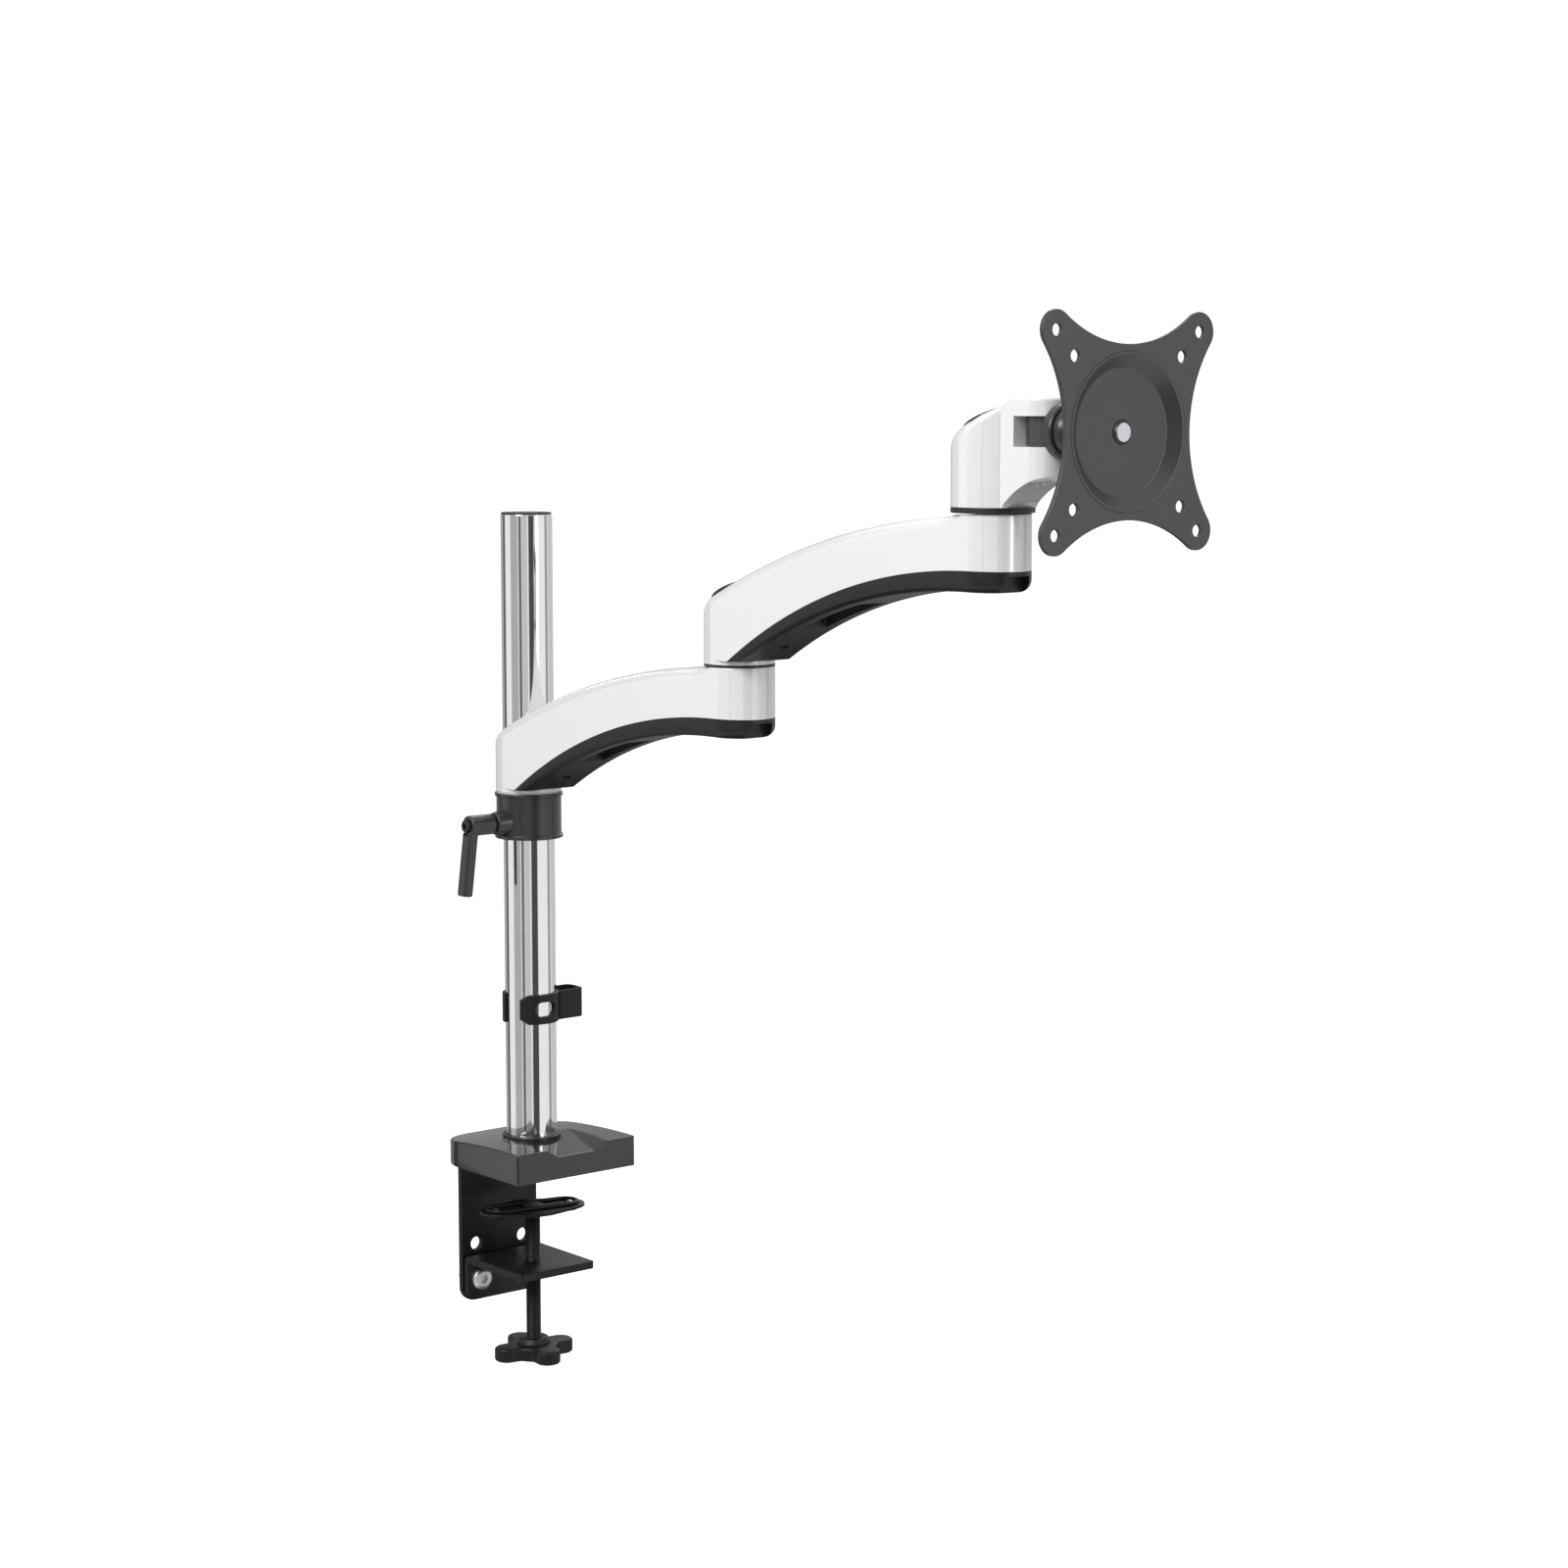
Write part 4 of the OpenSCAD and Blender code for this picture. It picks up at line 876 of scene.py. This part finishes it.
# ---- The two arms ----
# Each is a curved aluminium casting, sprayed glossy white and open underneath, closed by a
# black moulded cover with a cable opening and two screws. A pin pressed in the tip carries
# the next piece on a black ring, and a black cap hides its nut.
white = Finish("gloss_white_paint", coat=0.9, coat_roughness=0.05)
peel = white.noise(420, 2, 0.45)
patch = white.noise(16, 4, 0.5)
white.colour(patch, (0.86, 0.86, 0.865), (0.90, 0.90, 0.905))
white.feed("Roughness", 0.16 + 0.10 * patch)
white.bump(peel, 0.02, 0.2)
white.shader.inputs["Coat IOR"].default_value = 1.85

satin = Finish("satin_black_moulding", specular=0.32)
grain = satin.noise(1500, 3, 0.6)
patch = satin.noise(24, 4)
satin.colour(patch, (0.012, 0.012, 0.013), (0.020, 0.020, 0.021))
satin.feed("Roughness", 0.30 + 0.14 * patch)
satin.bump(grain, 0.025, 0.4)

elbow_low, elbow_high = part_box("elbow_pin")
reach = -(elbow_low.y + elbow_high.y) / 2 * 1000
arm_radius = 20.5
arm_top = 91.4
crown_radius, under_radius = 560, 370
lower_level = height("lower_arm_shell", 0)
upper_level = height("upper_arm_shell", 0)
elbow = at(0, -reach, upper_level)


def arm_columns(radius, root=0.0, round_steps=40, side_steps=110):
    """The arm's plan as columns: round the root, down one side, round the tip and back."""
    columns = []
    if root > 0:
        columns.append(((0, -root), (-radius, -root)))
    else:
        columns += [((0, 0), on_circle(radius, math.pi * k / round_steps)) for k in range(round_steps)]
    for k in range(1 if root > 0 else 0, side_steps):
        s = root + (reach - root) * k / side_steps
        columns.append(((0, -s), (-radius, -s)))
    for k in range(round_steps):
        turn = math.pi + math.pi * k / round_steps
        columns.append(((0, -reach), on_circle(radius, turn, 0, -reach)))
    for k in range(side_steps):
        s = reach + (root - reach) * k / side_steps
        columns.append(((0, -s), (radius, -s)))
    if root > 0:
        columns.append(((0, -root), (radius, -root)))
    return columns


def crown(x, y):
    """An arm's top line, which runs out level over its tip."""
    return min(arm_top, arc(y, crown_radius, reach + 22, arm_top + 0.3)) if y > -reach else arm_top


def seam(x, y):
    """The line where the casting ends and the cover begins."""
    return max(2.5, arc(y, under_radius, reach + 4, 62.0))


def belly(x, y):
    """The cover's underside."""
    return max(2.5, arc(y, under_radius, reach - 6, 50.5)) if y > -reach + 6 else 50.5


def crown_edge(x, y):
    """The casting's top edge is well rounded, and sharp round the tip under the ring."""
    share = min(1, max(0, (reach - 3 + y) / 14))
    return 0.5 + 6 * math.sqrt(share)


def arm_casting(bore, *cuts):
    """The casting: its body with what is cut from it, over the round rim of its root."""
    body = crowned(arm_columns(arm_radius), crown, seam, crown_edge, 0.25, across=8, steps=7, wall=6)
    return joined(less(body, *cuts), tube(arm_radius, bore, 0, 2.6, 0.3, 160))


screw_seats = ((38, 15), (170, 53))


def arm_cover_form():
    """The cover, open at its root, for the cable and under its tip, with seats for its screws."""
    def top(x, y):
        return seam(x, y) - 0.15 if y > -reach else 61.85

    def low_edge(x, y):
        return min(6.5, max(0.3, (seam(x, y) - belly(x, y)) * 0.62))

    body = crowned(arm_columns(arm_radius, 12), top, belly, 0.2, low_edge, across=8, steps=7, wall=3)
    root = bar(18.9, -5, 60, 0.02, 128)
    cable_way = plate([box_line((-9, -116), (9, -66), 1.2)], 5, 59, 0.02, 1)
    tip_way = plate([box_line((-9, -reach - 30), (9, -reach - 12.5), 0.6)], 40, 59.3, 0.02, 1)
    seats = [moved(bar(4, -20, seat, 0.02, 48), at(0, -away, 0)) for away, seat in screw_seats]
    return less(body, root, cable_way, tip_way, *seats)


def sunk(radius, deep, high, top):
    """A round space in a sloping top, from below its surface to above it."""
    columns = [((0, 0), on_circle(radius, 2 * math.pi * k / 96)) for k in range(96)]
    return crowned(columns, lambda x, y: top(x, y) + high, lambda x, y: top(x, y) - deep,
                   0.6 if high < 5 else 0.05, 0.05, across=6)


root_bore = 17.42
lower = arm_casting(root_bore, bar(root_bore, -5, 80, 0.02, 128))
piece("lower_casting", moved(lower, at(0, 0, lower_level)), white, "lower_arm",
      "lower_arm_shell")
upper = arm_casting(11, sunk(16.3, 3.2, 12, crown))
piece("upper_casting", moved(upper, elbow), white, "upper_arm", "upper_arm_shell")
piece("upper_root_cap", moved(sunk(16.15, 3, 1.8, crown), elbow), trim, "upper_arm",
      "upper_arm_plug")
piece("lower_cover", moved(arm_cover_form(), at(0, 0, lower_level)), satin, "lower_arm",
      "lower_arm_cover")
piece("upper_cover", moved(arm_cover_form(), elbow), satin, "upper_arm", "upper_arm_cover")


def cover_screw():
    """A small domed screw with a hexagon socket, head down."""
    line = rounded([(0, -2.6), (2.6, -2.6), (3.6, -0.6), (3.6, 0), (2, 0), (2, 13), (0, 13)],
                   [0, 0.5, 0.4, 0.1, 0.1, 0.4, 0], closed=False)
    return less(turned(line, 40), hexagon(2.5, -3.5, -1.0))


places = [at(0, -away, lower_level + seat) for away, seat in screw_seats]
repeated("lower_screws", cover_screw(), zinc, places, "lower_arm", "lower_cover_screws")
places = [elbow @ at(0, -away, seat) for away, seat in screw_seats]
repeated("upper_screws", cover_screw(), zinc, places, "upper_arm", "upper_cover_screws")
head_level = height("head_shell", 0)
wrist = at(0, -2 * reach, head_level)
head_radius = 22.2
piece("ring_at_elbow", moved(tube(arm_radius, 8, -1.5, 0, 0.25, 128), elbow), trim, "lower_arm",
      "elbow_ring")
piece("ring_at_wrist", moved(tube(head_radius, 8, -3, 0, 0.35, 128), wrist), trim, "upper_arm",
      "wrist_ring")
carried(nylon, "lower_arm_bush", "elbow_bush", "wrist_bush")
carried(zinc, "elbow_pin", "elbow_washer", "elbow_nut", "wrist_pin", "wrist_washer", "wrist_nut")

# ---- Head ----
# A smaller white casting that turns on the upper arm's tip. Its sloping top has a black cap,
# and its nose is slotted for the barrel, with the barrel's screw sunk in from below.
slope = 24.2 / 56
nose = 37.5
nose_half = 12.5
slot_level = 39.4
slot_half, slot_back = 7.8, -28.2


def head_slope(x, y):
    """The head's sloping top, carried on past its level part."""
    return 31.5 + (30 - y) * slope


def head_top(x, y):
    return min(56.5, head_slope(x, y))


def head_under(x, y):
    """The head's foot is flat, and an arc runs up from it under the nose."""
    return max(0.0, arc(y, 57, 60, 17.5)) if y < -20 else 0.0


def head_edge(x, y):
    """The head's top edge is well rounded behind and nearly sharp over the nose."""
    return 1.6 + 6.4 * min(1, max(0, (y + 24) / 20))


nose_root = math.sqrt(head_radius ** 2 - nose_half ** 2)
meeting = math.degrees(math.asin(nose_half / head_radius))
head_columns = []
for k in range(121):
    turn = math.radians(meeting - 90 + (360 - 2 * meeting) * k / 120)
    head_columns.append(((0, 0), on_circle(head_radius, turn)))
nose_side = [nose_root + (nose - nose_root) * k / 24 for k in range(1, 25)]
head_columns += [((0, -away), (-nose_half, -away)) for away in nose_side]
for k in range(1, 48):
    head_columns.append(((0, -nose), on_circle(nose_half, math.pi + math.pi * k / 48, 0, -nose)))
head_columns += [((0, -away), (nose_half, -away)) for away in reversed(nose_side)]

body = crowned(head_columns, head_top, head_under, head_edge, 0.3, across=8, steps=7, wall=6)
slot = plate([box_line((-40, -90), (40, slot_back))], slot_level - slot_half, slot_level + slot_half, 0.02, 1)
seat_bore = moved(bar(4.2, -1, 23, 0.02, 64), at(0, -nose, 0))
shell = less(body, slot, sunk(16.3, 3.2, 14, head_slope), seat_bore)
piece("head_casting", moved(shell, wrist), white, "head", "head_shell")
piece("head_cap", moved(sunk(16.15, 3, 1.3, head_slope), wrist), trim, "head", "head_plug")
carried(zinc, "swivel_screw")

# ---- Barrel, ball and socket ----
# A grey painted barrel swivels in the nose and carries a black cup. A cone screwed on the cup
# keeps in the steel ball, whose neck widens to a flange and ends in a riveted pin.
metallic_grey = Finish("metallic_grey", metallic=0.75, coat=0.3, coat_roughness=0.15)
flake = metallic_grey.noise(2400, 2, 0.6)
patch = metallic_grey.noise(40, 3)
metallic_grey.colour(flake, (0.05, 0.052, 0.056), (0.11, 0.113, 0.12))
metallic_grey.feed("Roughness", 0.32 + 0.18 * patch)
metallic_grey.bump(flake, 0.01, 0.3)

steel = Finish("turned_steel", metallic=1.0)
turning = steel.noise(900, 3, 0.6, steel.stretched(1, 5, 1))
patch = steel.noise(90, 3)
steel.colour(patch, (0.55, 0.56, 0.58), (0.70, 0.71, 0.73))
steel.feed("Roughness", 0.2 + 0.18 * patch)
steel.bump(turning, 0.01, 0.4)

swivel = wrist @ at(0, -nose, slot_level)
front = swivel @ tipped(90, "X")
barrel = joined(tube(9.0, 3.06, -7.6, 7.6, 0.6, 96), moved(bar(6.5, 2, 13.1, 0.4, 64), tipped(90, "X")))
piece("nose_barrel", moved(barrel, swivel), metallic_grey, "swivel", "swivel_barrel")
ball_away = 23.5


def ball_line(radius, *degrees):
    """A profile's stretch round the ball's centre. Its angles count from the ball's back."""
    line = []
    for angle in range(*degrees):
        turn = math.radians(angle)
        line.append((radius * math.sin(turn), ball_away - radius * math.cos(turn)))
    return line


cup_line = ball_line(9.56, 0, 55, 5)
cup_line += rounded([(8.4, 19.0), (10.6, 19.5), (14.5, 19.5), (14.5, 13.1), (0, 13.1)],
                    [0, 0, 1.7, 1.2, 0], closed=False)
piece("ball_cup", moved(turned(cup_line, 96), front), semi, "swivel", "socket_cup")
keeper_line = rounded([(8.8, 19.6), (12.5, 19.6), (12.6, 20.4), (12.1, 22.8), (10.6, 25.1), (9.46, 25.1)],
                      [0, 0.1, 0.4, 3.0, 0.4, 0.1])
keeper_line += ball_line(9.58, 96, 66, -3)
piece("ball_keeper", moved(turned(keeper_line, 96), front), semi, "swivel", "socket_ring")
plate_away, dish_deep, washer_thick = 98.2, 7.4, 1
flange = plate_away - washer_thick - nose - dish_deep
stud_line = ball_line(9.5, 0, 145, 5)
stud_line += [(5.5, 31.6), (5.5, flange - 8.5), (6.0, flange - 7.4), (8.4, flange - 2.9), (9.2, flange - 2),
              (12.6, flange - 2), (13, flange - 1.6), (13, flange - 0.3), (12.7, flange), (4.75, flange),
              (4.75, flange + 3.4), (5.1, flange + 3.4), (4.75, flange + 4.9), (0, flange + 4.9)]
piece("ball_and_stud", moved(turned(stud_line, 96), front), steel, "ball", "ball_stud")
carried(nylon, "stud_washer")

# ---- Screen plate ----
# A steel plate pressed with a round dish, blanked to four lobes with hollow edges between
# them, and powder coated charcoal. A black bush lines the hole the ball's stud turns in.
charcoal = Finish("charcoal_powder", specular=0.95)
grit = charcoal.noise(1500, 3, 0.65)
speck = charcoal.noise(4200, 1, 0.5)
patch = charcoal.noise(18, 4)
mottle = 0.7 * patch + 0.3 * speck
charcoal.colour(mottle, (0.012, 0.012, 0.013), (0.022, 0.022, 0.023))
charcoal.feed("Roughness", 0.34 + 0.12 * patch)
charcoal.bump(grit + 0.5 * speck, 0.03, 0.45)


def lobed_square(corner, lobe, waist):
    """A square plate's outline: round lobes joined by hollow edges that meet them smoothly."""
    hollow = (corner ** 2 + (waist - corner) ** 2 - lobe ** 2) / (2 * (lobe + corner - waist))
    centre = waist + hollow
    touch = math.degrees(math.atan2(centre - corner, corner))
    line = []
    spread = 90 - touch
    for quarter in range(4):
        spin = Matrix.Rotation(math.radians(90 * quarter), 2)
        for k in range(33):
            turn = math.radians(touch - 90 + (270 - 2 * touch) * k / 32)
            line.append(spin @ Vector(on_circle(lobe, turn, corner, corner)))
        for k in range(1, 32):
            turn = math.radians(spread - 2 * spread * k / 32)
            line.append(spin @ Vector((hollow * math.sin(turn), centre - hollow * math.cos(turn))))
    return line


outline = lobed_square(50, 10, 43.6)
dish_rim, sheet_thick = 40, 2.4
holes = [ring_line(dish_rim, count=128)]
for half in (50, 37.5):
    for x in (-half, half):
        for y in (-half, half):
            holes.append(ring_line(3.1, x, y, 40))
flat = plate([outline] + holes, 0, sheet_thick, 0.45)
dish_line = [(dish_rim, sheet_thick), (39.7, sheet_thick), (33.2, dish_deep), (6.3, dish_deep),
             (6.3, dish_deep - sheet_thick), (32, dish_deep - sheet_thick), (38.5, 0), (dish_rim, 0)]
dished = turned(rounded(dish_line, [0, 1.5, 2.0, 0.2, 0.3, 1.6, 1.2, 0], 5), 128)
facing = wrist @ at(0, -plate_away, slot_level) @ tipped(-90, "X")
piece("screen_plate", moved(joined(flat, dished), facing), charcoal, "plate", "vesa_plate")
piece("stud_bush", moved(tube(6.28, 4.82, 4.9, 7.35, 0.2, 64), facing), trim, "plate",
      "plate_bush")


# ---- Floor ----
# A wide pale floor below the arm, which isn't part of it. It glows a little to look white,
# and the arm neither mirrors it nor takes light from it.
floor_paint = Finish("pale_floor", specular=0.2)
mottle = floor_paint.noise(3, 2)
floor_paint.colour(mottle, (0.93, 0.93, 0.93), (0.95, 0.95, 0.95))
floor_paint.feed("Roughness", 0.85 + 0.1 * mottle)
floor_paint.shader.inputs["Emission Color"].default_value = (1, 1, 1, 1)
floor_paint.shader.inputs["Emission Strength"].default_value = 0.65
floor_half, floor_level = 40, -0.32
sheet = bpy.data.meshes.new("floor")
sheet.from_pydata([(x * floor_half, y * floor_half, floor_level)
                   for x, y in ((-1, -1), (1, -1), (1, 1), (-1, 1))], [], [(0, 1, 2, 3)])
floor = standing("floor", sheet)
floor.data.materials.append(floor_paint.material)
floor.visible_diffuse = False
floor.visible_glossy = False
